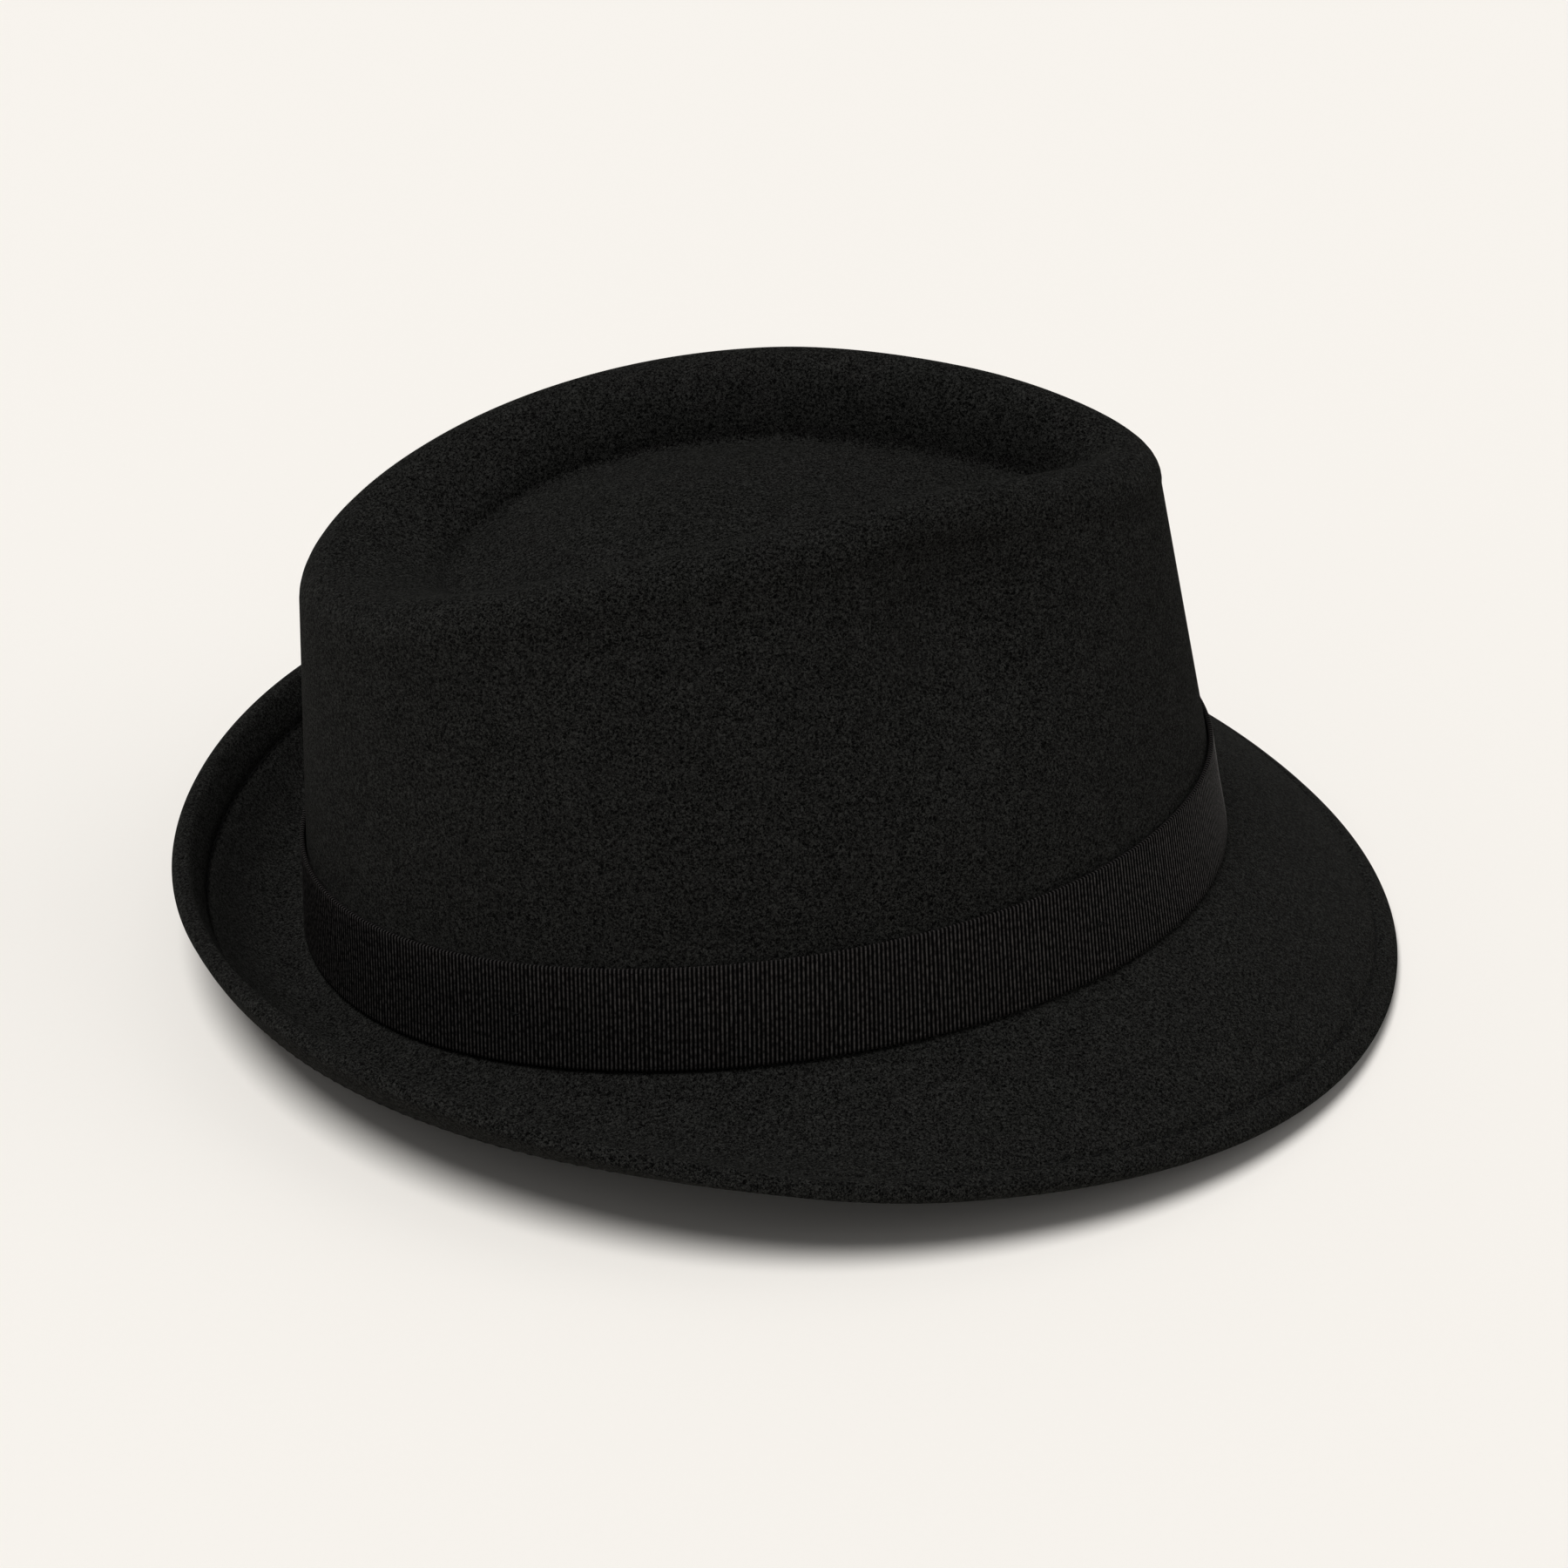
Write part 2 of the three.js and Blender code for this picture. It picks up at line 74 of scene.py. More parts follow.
# ---- the blocked shape, in millimetres -----------------------------------------------------------
HEAD_LENGTH, HEAD_WIDTH = 209, 178
CROWN_HEIGHT = 101
BRIM_FRONT, BRIM_SIDE, BRIM_REAR = 43.5, 37.8, 27.5
BREAK_HEIGHT, BREAK_TILT, BREAK_SADDLE = 20.9, 13.3, -3.9
EDGE_DROP, EDGE_TILT, EDGE_SADDLE, EDGE_SNAP = 3.5, -13.3, -4.5, 2.0
SLOPE_OUT = (-0.57, 0.12, -0.07)
CURL = (0.66, -1.89, 0.07, 0.42)
RIM_FRONT, RIM_REAR, RIM_HALF_WIDTH, RIM_BACK, RIM_TEAR = 78.5, 92, 41, 3.2, 0.33
RIM_TILT, RIM_SADDLE = 12.9, -7.8
SHOULDER = 9
MOAT_DEPTH, MOAT_TILT, MOAT_SADDLE = 12.8, 4.5, -3.8
MOAT_PLACE, MOAT_FRONT, MOAT_STEEP, DOME_FULL = 0.27, 0.14, 0.8, 0.75
DOME_SINK, DOME_X = 12, -11.2
PINCH_DEPTH, PINCH_ANGLE, PINCH_SPREAD = 9.5, math.radians(66), math.radians(14)
PINCH_RISE, PINCH_TALL, PINCH_DROP = 0.83, 0.18, 0.24
WELT_WIDTH, WELT_THICK = 5.5, 3.8
SET_DOWN = np.array([-6.207, 0, 0.3125])  # from the middle of the head opening to the table frame

# ---- what is sewn on and in, in millimetres --------------------------------------------------------
THREAD = 0.5
RIBBON_LOW = 0.6           # up the wall, from the break to the band's lower edge
RIB_MAP = 0.95             # one rib's length on the ribbon's UV map, whatever the pitch
BOW_ANGLE = math.radians(92)
BOW_LOOP, BOW_KNOT, BOW_TAIL = 27, 9, 10
TACK_ANGLES = {"near_front": -51, "near_rear": -125, "far_front": 51, "far_rear": 133}  # degrees
SWEAT_DEPTH, SWEAT_THICK = 3.6, 1.0
SWEAT_LOW, SWEAT_WIDTH = 1.6, 36
SWEAT_SEAM = 2.5           # from its lower edge to its row of stitches
SWEAT_STITCHES = 190
REED = 1.3
SATIN_DEPTH, SATIN_THICK = 2.3, 0.42
SATIN_TUCK = 12            # hidden behind the sweatband
SATIN_SEAM = 1.74          # the place along the felt where the side meets the tip
TIP_RISE = 14
PATCH_LENGTH, PATCH_WIDTH, PATCH_AREA = 62, 44, 0.00214
SIZE_LABEL = (14, 11.2)
CARE_LABEL = (22, 26)


# ---- the felt surface ------------------------------------------------------------------------------
def smooth(g):
    return g * g * (3 - 2 * g)


def mix(a, b, f):
    return a + (b - a) * f


def stacked(x, y, z):
    return np.stack(np.broadcast_arrays(x, y, z), axis=-1)


def break_height(t):
    return BREAK_HEIGHT + BREAK_TILT * np.cos(t) + BREAK_SADDLE * np.cos(2 * t)


def brim_width(t):
    mean = (BRIM_FRONT + BRIM_REAR + 2 * BRIM_SIDE) / 4
    ends = (BRIM_FRONT + BRIM_REAR - 2 * BRIM_SIDE) / 4
    return mean + (BRIM_FRONT - BRIM_REAR) / 2 * np.cos(t) + ends * np.cos(2 * t)


def brim_point(t, u):
    """On the brim, from the break (0) to the edge (1)."""
    width = brim_width(t)
    edge = BREAK_HEIGHT - EDGE_DROP + EDGE_TILT * np.cos(t)
    edge = edge + EDGE_SADDLE * np.cos(2 * t) + EDGE_SNAP * np.cos(3 * t)
    start = sum(s * np.cos(i * t) for i, s in enumerate(SLOPE_OUT))
    end = sum(c * np.cos(i * t) for i, c in enumerate(CURL))
    bend = (edge - break_height(t)) * smooth(u)
    bend = bend + width * start * u * (1 - u) ** 2 + width * end * u * u * (u - 1)
    x = (HEAD_LENGTH / 2 + width * u) * np.cos(t)
    y = (HEAD_WIDTH / 2 + width * u) * np.sin(t)
    return stacked(x, y, break_height(t) + bend)


def rim_point(t):
    """On the crest of the crown's teardrop rim."""
    x = np.where(np.cos(t) > 0, RIM_FRONT, RIM_REAR) * np.cos(t) - RIM_BACK
    y = RIM_HALF_WIDTH * np.sin(t) * (1 - RIM_TEAR * np.cos(t))
    z = BREAK_HEIGHT - BREAK_SADDLE + CROWN_HEIGHT + RIM_SADDLE
    return stacked(x, y, z + RIM_TILT * np.cos(t) + RIM_SADDLE * np.cos(2 * t))


def pinch(t, v):
    """The depth of the two dents at the crown's front; they fade more slowly below than above."""
    turned = np.abs((t + math.pi) % TAU - math.pi)
    aside = (turned - PINCH_ANGLE) / PINCH_SPREAD
    above = (v - PINCH_RISE) / np.where(v > PINCH_RISE, PINCH_TALL, PINCH_DROP)
    return PINCH_DEPTH * np.exp(-aside * aside - above * above)


def crown_point(t, v):
    """Up the wall (0 to 1), over the shoulder (2), down to the moat (2.5), to the dome's middle (3)."""
    rim = rim_point(t)
    out = stacked(np.cos(t), np.sin(t), 0)
    high = rim[..., 2]

    # the sides start more upright than they end, and the front and back lean evenly
    bow = 0.5 * np.sin(t) ** 2
    lean = (1 - bow) * v + bow * v * v
    x = mix(HEAD_LENGTH / 2 * np.cos(t), rim[..., 0] + SHOULDER * out[..., 0], lean)
    y = mix(HEAD_WIDTH / 2 * np.sin(t), rim[..., 1] + SHOULDER * out[..., 1], lean)
    wall = stacked(x, y, mix(break_height(t), high - SHOULDER, v)) - out * pinch(t, v)[..., None]

    arc = np.clip(v - 1, 0, 1) * math.pi / 2
    reach = SHOULDER * np.cos(arc) - pinch(t, 1) * np.clip(2 - v, 0, 1)
    shoulder = rim + out * reach[..., None]
    shoulder[..., 2] = high - SHOULDER + SHOULDER * np.sin(arc)

    depth = MOAT_DEPTH + MOAT_TILT * np.cos(t) + MOAT_SADDLE * np.cos(2 * t)
    middle = BREAK_HEIGHT - BREAK_SADDLE + CROWN_HEIGHT - DOME_SINK
    fall = np.clip(2 * (v - 2), 0, 1)
    swell = np.clip(2 * (v - 2) - 1, 0, 1)
    rolled = np.sin(math.pi / 2 * fall)
    near_rim = MOAT_PLACE - MOAT_FRONT * np.maximum(np.cos(t), 0) ** 3
    g = mix(near_rim * mix(fall, rolled, MOAT_STEEP), 1, swell)
    floor = high - depth * (1 - np.cos(math.pi / 2 * fall))
    rise = mix(smooth(swell), np.sin(math.pi / 2 * swell), DOME_FULL)
    top = stacked(mix(rim[..., 0], DOME_X, g), mix(rim[..., 1], 0, g), mix(floor, middle, rise))

    v = np.broadcast_to(v, high.shape)[..., None]
    return np.where(v <= 1, wall, np.where(v <= 2, shoulder, top))


def felt_point(t, w):
    """Along the felt from the brim edge (0) over the break (1) to the dome's middle (4)."""
    t, w = np.broadcast_arrays(np.asarray(t, float), np.asarray(w, float))
    brim = brim_point(t, np.clip(1 - w, 0, 1))
    return np.where((w < 1)[..., None], brim, crown_point(t, np.clip(w - 1, 0, 3)))


def unit(v):
    return v / np.maximum(np.linalg.norm(v, axis=-1, keepdims=True), 1e-12)


def felt_frame(t, w, step=1e-3):
    """The felt's outward normal, and its direction in towards the crown."""
    inward = felt_point(t, np.minimum(w + step, 4 - step)) - felt_point(t, np.maximum(w - step, 0))
    around = felt_point(t + step, w) - felt_point(t - step, w)
    return unit(np.cross(around, inward)), unit(inward)


def felt_offset(t, w, depth):
    """A point at a depth under the felt's outer face; a negative depth stands proud of it."""
    t, w = np.broadcast_arrays(np.asarray(t, float), np.asarray(w, float))
    normal, _ = felt_frame(t, w)
    return felt_point(t, w) - normal * np.asarray(depth, float)[..., None]


def wall_place(t, height, share=0.3):
    """The place on the wall at a distance up its slope, which is even over its lowest share."""
    low, high = crown_point(t, np.zeros_like(t)), crown_point(t, np.full_like(t, share))
    return 1 + height * share / np.linalg.norm(high - low, axis=-1)


BAND_PLACE = 1.12  # along the felt, at the middle of the ribbon
BAND_ANGLES = np.linspace(-math.pi, math.pi, 1441)
BAND_STEPS = np.linalg.norm(np.diff(felt_point(BAND_ANGLES, BAND_PLACE), axis=0), axis=1)
BAND_LENGTHS = np.concatenate([[0], np.cumsum(BAND_STEPS)])
BAND_LENGTH = BAND_LENGTHS[-1]


def angle_at(length):
    """The angle round the hat at a length along the band, measured from the back over the right side."""
    return np.interp(length, BAND_LENGTHS, BAND_ANGLES)


def length_at(angle):
    """The length along the band at an angle round the hat."""
    return float(np.interp(angle, BAND_ANGLES, BAND_LENGTHS))


def on_wall(length, height, depth):
    """A point on the crown by its length along the band and its height up the wall."""
    t = angle_at(length)
    return felt_offset(t, wall_place(t, height), depth)


# ---- making pieces ---------------------------------------------------------------------------------
def finished(bm, name, material, body=None):
    """Turns a bmesh into a smooth-shaded object on the frame, its place in its mesh."""
    mesh = bpy.data.meshes.new(name)
    bm.to_mesh(mesh)
    bm.free()
    mesh.materials.append(material)
    mesh.polygons.foreach_set("use_smooth", [True] * len(mesh.polygons))
    piece = bpy.data.objects.new(name, mesh)
    bpy.context.scene.collection.objects.link(piece)
    if body:
        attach(piece, body)
    return piece


def laid_cloth(columns, rows, place, size=(1, 1)):
    """A grid of cloth laid where place says; its edges join where they meet. The UV map is in mm."""
    bm = bmesh.new()
    bmesh.ops.create_grid(bm, x_segments=columns, y_segments=rows, size=1)
    bm.verts.index_update()
    spots = np.array([v.co[:2] for v in bm.verts]) / 2 + 0.5
    cloth = bm.loops.layers.uv.new("cloth")
    for face in bm.faces:
        for loop in face.loops:
            loop[cloth].uv = spots[loop.vert.index] * size
    points = (place(spots[:, 0], spots[:, 1]) + SET_DOWN) * MM
    for vert, point in zip(bm.verts, points):
        vert.co = point
    bmesh.ops.remove_doubles(bm, verts=bm.verts, dist=1e-6)
    bmesh.ops.dissolve_degenerate(bm, edges=bm.edges, dist=1e-7)
    bmesh.ops.recalc_face_normals(bm, faces=bm.faces)
    return bm


def close_round(spots, values):
    """The values of a ring of rows at the spots, which run from 0 to 1 round the ring."""
    index = np.round(spots * len(values)).astype(int) % len(values)
    return np.array(values)[index]


def sewn_stitches(bm, ends, thickness):
    """Adds one thread stitch between each pair of ends, as a long ball that tapers into its holes."""
    for a, b in ends:
        a, b = Vector((a + SET_DOWN) * MM), Vector((b + SET_DOWN) * MM)
        turn = (b - a).to_track_quat("Z", "X").to_matrix().to_4x4()
        size = Matrix.Diagonal((thickness * MM / 2, thickness * MM / 2, (b - a).length / 2, 1))
        place = Matrix.Translation((a + b) / 2) @ turn @ size
        bmesh.ops.create_uvsphere(bm, u_segments=6, v_segments=6, radius=1, matrix=place)


# ---- finishes --------------------------------------------------------------------------------------
def linear(hex_colour, alpha=1.0):
    """A hex sRGB colour as the linear one that shaders take."""
    parts = [int(hex_colour[i : i + 2], 16) / 255 for i in (1, 3, 5)]
    return (*(c / 12.92 if c <= 0.04045 else ((c + 0.055) / 1.055) ** 2.4 for c in parts), alpha)


def shade(colour, times):
    """The same colour, so many times as bright."""
    return (*(min(c * times, 1) for c in colour[:3]), 1)


def node(tree, kind, values=None, links=None, **settings):
    """Adds a node with its settings, its sockets' values and the links into it."""
    made = tree.nodes.new(kind)
    for key, value in settings.items():
        setattr(made, key, value)
    set_sockets(made, values or {})
    for socket, source in (links or {}).items():
        tree.links.new(source, made.inputs[socket])
    return made


def set_sockets(made, values):
    """Sets the sockets that hold one value all over the surface."""
    for socket, value in values.items():
        made.inputs[socket].default_value = value


def new_finish(name):
    """A new material, its node tree and its shader."""
    material = bpy.data.materials.new(name)
    material.use_nodes = True
    tree = material.node_tree
    surface = tree.nodes["Principled BSDF"]
    return material, tree, surface


def per_metre(size_mm):
    """The noise scale whose features are about this big, on coordinates in metres."""
    return 1 / (size_mm * MM)


WAVE_REPEAT = 0.314159  # a wave texture of scale 1 repeats at this distance


def wool_felt(colour):
    """Black wool felt, blocked and brushed: a matt mat of short crossing fibres.

    It has hardly any gloss and only a faint bloom at grazing angles, and close up it is speckled,
    because fibres on top are lighter than the gaps between them.
    """
    material, tree, surface = new_finish("wool_felt")
    place = node(tree, "ShaderNodeTexCoord").outputs["Object"]
    # the single fibres are 0.02 mm thick; they are drawn as clumps of 0.5 mm, so that they show
    clumps = node(tree, "ShaderNodeTexNoise", {"Scale": per_metre(0.55), "Detail": 5.0, "Roughness": 0.8,
                  "Distortion": 0.8}, {"Vector": place})
    mottle = node(tree, "ShaderNodeTexNoise", {"Scale": per_metre(5.0), "Detail": 3.0}, {"Vector": place})
    curls = node(tree, "ShaderNodeTexNoise", {"Scale": per_metre(1.6), "Detail": 2.0, "Distortion": 2.5},
                 {"Vector": place})
    tone = node(tree, "ShaderNodeValToRGB", links={"Fac": clumps.outputs["Fac"]})
    tone.color_ramp.elements[0].position = 0.45
    tone.color_ramp.elements[0].color = shade(colour, 0.1)
    tone.color_ramp.elements[1].position = 0.6
    tone.color_ramp.elements[1].color = shade(colour, 4.6)
    patchy = node(tree, "ShaderNodeMapRange", {"To Min": 0.7, "To Max": 1.3},
                  {"Value": mottle.outputs["Fac"]})
    tinted = node(tree, "ShaderNodeMix", {"Factor": 1.0}, data_type="RGBA", blend_type="MULTIPLY")
    tree.links.new(tone.outputs["Color"], tinted.inputs["A"])
    tree.links.new(patchy.outputs["Result"], tinted.inputs["B"])
    # a few pale fibres lie on top: thin wandering lines where the third pattern crosses its middle
    aside = node(tree, "ShaderNodeMath", {1: 0.5, 2: 0.012}, {0: curls.outputs["Fac"]}, operation="COMPARE")
    stray = node(tree, "ShaderNodeMath", links={0: aside.outputs["Value"], 1: clumps.outputs["Fac"]},
                 operation="MULTIPLY")
    fibres = node(tree, "ShaderNodeMix", {"B": shade(colour, 4.5)},
                  {"Factor": stray.outputs["Value"], "A": tinted.outputs["Result"]}, data_type="RGBA")
    tree.links.new(fibres.outputs["Result"], surface.inputs["Base Color"])
    relief = node(tree, "ShaderNodeMath", {1: 0.5}, {0: mottle.outputs["Fac"], 2: clumps.outputs["Fac"]},
                  operation="MULTIPLY_ADD")
    bump = node(tree, "ShaderNodeBump", {"Strength": 0.9, "Distance": 0.5 * MM},
                {"Height": relief.outputs["Value"]})
    tree.links.new(bump.outputs["Normal"], surface.inputs["Normal"])
    set_sockets(surface, {"Roughness": 0.95, "Specular IOR Level": 0.01,
                          "Sheen Weight": 0.03, "Sheen Roughness": 0.4, "Sheen Tint": linear("#bcbcb4")})
    return material


def grosgrain(colour):
    """Black viscose grosgrain: upright ribs, with the warp threads binding them in short floats."""
    material, tree, surface = new_finish("viscose_grosgrain")
    weave = node(tree, "ShaderNodeUVMap", uv_map="cloth").outputs["UV"]
    # one wave is one rib, and its crest lies on the modelled rib's
    ribs = node(tree, "ShaderNodeTexWave", {"Scale": WAVE_REPEAT / RIB_MAP, "Phase Offset": math.pi},
                {"Vector": weave}, bands_direction="X")
    # the warp crosses each rib about every 0.4 mm, in threads that do not line up
    stretched = node(tree, "ShaderNodeMapping", {"Scale": (1.1, 2.4, 1.0)}, {"Vector": weave})
    floats = node(tree, "ShaderNodeTexNoise", {"Scale": 1.0, "Detail": 2.0, "Roughness": 0.6},
                  {"Vector": stretched.outputs["Vector"]})
    # painted shade: the grooves between the ribs are painted nearly black, and the rib crests keep the
    # ribbon's colour
    groove_shade = node(tree, "ShaderNodeValToRGB", links={"Fac": ribs.outputs["Fac"]})
    groove_shade.color_ramp.elements[0].position = 0.45
    groove_shade.color_ramp.elements[0].color = (0.02, 0.02, 0.02, 1)
    groove_shade.color_ramp.elements[1].position = 0.95
    tone = node(tree, "ShaderNodeValToRGB", links={"Fac": floats.outputs["Fac"]})
    tone.color_ramp.elements[0].position = 0.38
    tone.color_ramp.elements[0].color = shade(colour, 0.4)
    tone.color_ramp.elements[1].position = 0.66
    tone.color_ramp.elements[1].color = shade(colour, 2.3)
    shaded = node(tree, "ShaderNodeMix", {"Factor": 1.0}, data_type="RGBA", blend_type="MULTIPLY")
    tree.links.new(tone.outputs["Color"], shaded.inputs["A"])
    tree.links.new(groove_shade.outputs["Color"], shaded.inputs["B"])
    tree.links.new(shaded.outputs["Result"], surface.inputs["Base Color"])
    # the crests are rubbed smooth and the grooves stay matt
    rub = node(tree, "ShaderNodeMapRange", {"To Min": 0.95, "To Max": 0.45},
               {"Value": groove_shade.outputs["Color"]})
    tree.links.new(rub.outputs["Result"], surface.inputs["Roughness"])
    bump = node(tree, "ShaderNodeBump", {"Strength": 0.7, "Distance": 0.15 * MM},
                {"Height": floats.outputs["Fac"]})
    tree.links.new(bump.outputs["Normal"], surface.inputs["Normal"])
    set_sockets(surface, {"Specular IOR Level": 0.05})
    return material


def sewing_thread(colour):
    """Black cotton thread, sunk in the felt: nearly matt, with its twist just showing."""
    material, tree, surface = new_finish("cotton_thread")
    place = node(tree, "ShaderNodeTexCoord").outputs["Object"]
    # the twist shows about every 0.25 mm
    twist = node(tree, "ShaderNodeTexNoise", {"Scale": per_metre(0.25), "Detail": 2.0}, {"Vector": place})
    tone = node(tree, "ShaderNodeValToRGB", links={"Fac": twist.outputs["Fac"]})
    tone.color_ramp.elements[0].color = shade(colour, 0.5)
    tone.color_ramp.elements[1].color = shade(colour, 1.5)
    tree.links.new(tone.outputs["Color"], surface.inputs["Base Color"])
    bump = node(tree, "ShaderNodeBump", {"Strength": 0.5, "Distance": 0.1 * MM},
                {"Height": twist.outputs["Fac"]})
    tree.links.new(bump.outputs["Normal"], surface.inputs["Normal"])
    set_sockets(surface, {"Roughness": 0.8, "Specular IOR Level": 0.15})
    return material


def grained_leather(colour):
    """Dark sheep leather: pebbled grain about 1 mm across, satin where it is rubbed."""
    material, tree, surface = new_finish("grained_leather")
    place = node(tree, "ShaderNodeTexCoord").outputs["Object"]
    grain = node(tree, "ShaderNodeTexVoronoi", {"Scale": per_metre(1.1), "Randomness": 0.9},
                 {"Vector": place}, feature="DISTANCE_TO_EDGE")
    pores = node(tree, "ShaderNodeTexNoise", {"Scale": per_metre(0.6), "Detail": 4.0}, {"Vector": place})
    wear = node(tree, "ShaderNodeTexNoise", {"Scale": per_metre(18), "Detail": 2.0}, {"Vector": place})
    tone = node(tree, "ShaderNodeValToRGB", links={"Fac": wear.outputs["Fac"]})
    tone.color_ramp.elements[0].position = 0.35
    tone.color_ramp.elements[0].color = shade(colour, 0.75)
    tone.color_ramp.elements[1].position = 0.7
    tone.color_ramp.elements[1].color = shade(colour, 1.4)
    tree.links.new(tone.outputs["Color"], surface.inputs["Base Color"])
    edges = node(tree, "ShaderNodeMapRange", {"From Max": 0.25}, {"Value": grain.outputs["Distance"]})
    relief = node(tree, "ShaderNodeMath", {1: 0.35}, {0: pores.outputs["Fac"], 2: edges.outputs["Result"]},
                  operation="MULTIPLY_ADD")
    bump = node(tree, "ShaderNodeBump", {"Strength": 0.45, "Distance": 0.15 * MM},
                {"Height": relief.outputs["Value"]})
    tree.links.new(bump.outputs["Normal"], surface.inputs["Normal"])
    gloss = node(tree, "ShaderNodeMapRange", {"To Min": 0.42, "To Max": 0.62}, {"Value": wear.outputs["Fac"]})
    tree.links.new(gloss.outputs["Result"], surface.inputs["Roughness"])
    return material


def woven_cloth(name, colour, thread_mm, roughness, sheen):
    """A plain or satin weave: warp and weft of one thread size, with the cloth's own map in mm."""
    material, tree, surface = new_finish(name)
    weave = node(tree, "ShaderNodeUVMap", uv_map="cloth").outputs["UV"]
    scale = 0.314 / (2 * thread_mm)  # a rounded WAVE_REPEAT, as no modelled thread has to line up with it
    warp = node(tree, "ShaderNodeTexWave", {"Scale": scale, "Distortion": 0.4}, {"Vector": weave},
                bands_direction="X")
    weft = node(tree, "ShaderNodeTexWave", {"Scale": scale, "Distortion": 0.4}, {"Vector": weave},
                bands_direction="Y")
    both = node(tree, "ShaderNodeMath", links={0: warp.outputs["Fac"], 1: weft.outputs["Fac"]},
                operation="MULTIPLY")
    clouds = node(tree, "ShaderNodeTexNoise", {"Scale": 0.15, "Detail": 3.0}, {"Vector": weave})
    tone = node(tree, "ShaderNodeValToRGB", links={"Fac": clouds.outputs["Fac"]})
    tone.color_ramp.elements[0].position = 0.3
    tone.color_ramp.elements[0].color = shade(colour, 0.8)
    tone.color_ramp.elements[1].position = 0.7
    tone.color_ramp.elements[1].color = shade(colour, 1.15)
    tree.links.new(tone.outputs["Color"], surface.inputs["Base Color"])
    bump = node(tree, "ShaderNodeBump", {"Strength": 0.4, "Distance": 0.1 * MM},
                {"Height": both.outputs["Value"]})
    tree.links.new(bump.outputs["Normal"], surface.inputs["Normal"])
    set_sockets(surface, {"Roughness": roughness, "Sheen Weight": sheen})
    return material


def seamless_paper(colour):
    """Matt studio paper: flat and even, with no gloss."""
    material, tree, surface = new_finish("studio_paper")
    place = node(tree, "ShaderNodeTexCoord").outputs["Object"]
    tooth = node(tree, "ShaderNodeTexNoise", {"Scale": per_metre(1.5), "Detail": 2.0}, {"Vector": place})
    tone = node(tree, "ShaderNodeValToRGB", links={"Fac": tooth.outputs["Fac"]})
    tone.color_ramp.elements[0].color = shade(colour, 0.99)
    tone.color_ramp.elements[1].color = tuple(colour)
    tree.links.new(tone.outputs["Color"], surface.inputs["Base Color"])
    set_sockets(surface, {"Roughness": 1.0, "Specular IOR Level": 0.0})
    return material


# ---- what a user may change --------------------------------------------------------------------------
def length(name, description, default_mm):
    """A setting in metres, given by its default in millimetres."""
    return FloatProperty(name=name, description=description, default=default_mm * MM, min=0, unit="LENGTH")


def colour(name, description, hex_colour):
    """A colour setting, given by its default in hex."""
    return FloatVectorProperty(name=name, description=description, default=linear(hex_colour),
                               size=4, min=0, max=1, subtype="COLOR")


class FedoraFelt(bpy.types.PropertyGroup):
    """The felt and the stitching of its edge."""

    thickness: length("Felt thickness", "Thickness of the blocked felt", 2.0)
    stitch: length("Stitch length", "Length of one stitch round the brim's edge", 3.4)
    groove: length("Groove depth", "How deep the stitches pull the felt in", 0.95)
    felt_colour: colour("Felt", "Colour of the felt", "#131312")
    thread_colour: colour("Thread", "Colour of the sewing thread", "#060606")


class FedoraTrim(bpy.types.PropertyGroup):
    """The grosgrain band and bow."""

    ribbon_width: length("Ribbon width", "Width of the grosgrain", 23.0)
    ribbon_thick: length("Ribbon thickness", "Thickness of the grosgrain", 0.45)
    rib_pitch: length("Rib pitch", "Distance from one rib to the next", 0.95)
    rib_relief: length("Rib relief", "How far a rib stands proud", 0.28)
    ribbon_colour: colour("Ribbon", "Colour of the grosgrain", "#2a2827")


class FedoraInside(bpy.types.PropertyGroup):
    """The sweatband, the lining and the labels."""

    leather_colour: colour("Leather", "Colour of the sweatband", "#2a211d")
    satin_colour: colour("Satin", "Colour of the lining", "#1f1e24")
    patch_colour: colour("Patch", "Colour of the patch in the lining's tip", "#2b292d")
    tape_colour: colour("Label tape", "Colour of the woven labels", "#d6d2c8")


class FedoraStage(bpy.types.PropertyGroup):
    """The paper sweep and its lights."""

    paper_colour: colour("Paper", "Colour of the floor", "#f8f4ee")
    key_strength: FloatProperty(name="Key strength", description="Strength of the overhead softbox",
                                default=2.45, min=0)
    side_strength: FloatProperty(name="Side strength", description="Strength of the window light",
                                 default=0.22, min=0)
    sky: FloatProperty(name="Sky strength", description="Strength of the even white surround",
                       default=0.22, min=0)


GROUPS = {"fedora_felt": FedoraFelt, "fedora_trim": FedoraTrim, "fedora_inside": FedoraInside,
          "fedora_stage": FedoraStage}


def shared_finish(name, make, colour):
    """The finish of that name, made once."""
    return bpy.data.materials.get(name) or make(colour)


def thread_finish(context):
    return shared_finish("cotton_thread", sewing_thread, context.scene.fedora_felt.thread_colour)


def ribbon_finish(context):
    return shared_finish("viscose_grosgrain", grosgrain, context.scene.fedora_trim.ribbon_colour)


# ---- felt ------------------------------------------------------------------------------------------
EDGE_TURN = 0.8  # from the edge to where its round begins
WELT_ROWS = (EDGE_TURN, 1.7, 2.7, 3.6, 4.3, 4.8, 5.2, 5.5, 5.8, 6.2, 6.8, 7.7, 8.9)
WELT_STEP, WELT_STEP_WIDTH = 6.3, 0.9  # where the turned-under felt ends below
EDGE_ROWS = 7
FELT_MAP = 300  # the felt's map across its rows, which its finish does not read
FLOOR_GAP = 0.02


def stitch_count(felt):
    """A whole number of stitches round the groove, WELT_WIDTH in from the edge."""
    t = np.linspace(0, TAU, 721)
    line = felt_point(t, WELT_WIDTH / brim_width(t))
    return round(np.linalg.norm(np.diff(line, axis=0), axis=1).sum() / (felt.stitch / MM))


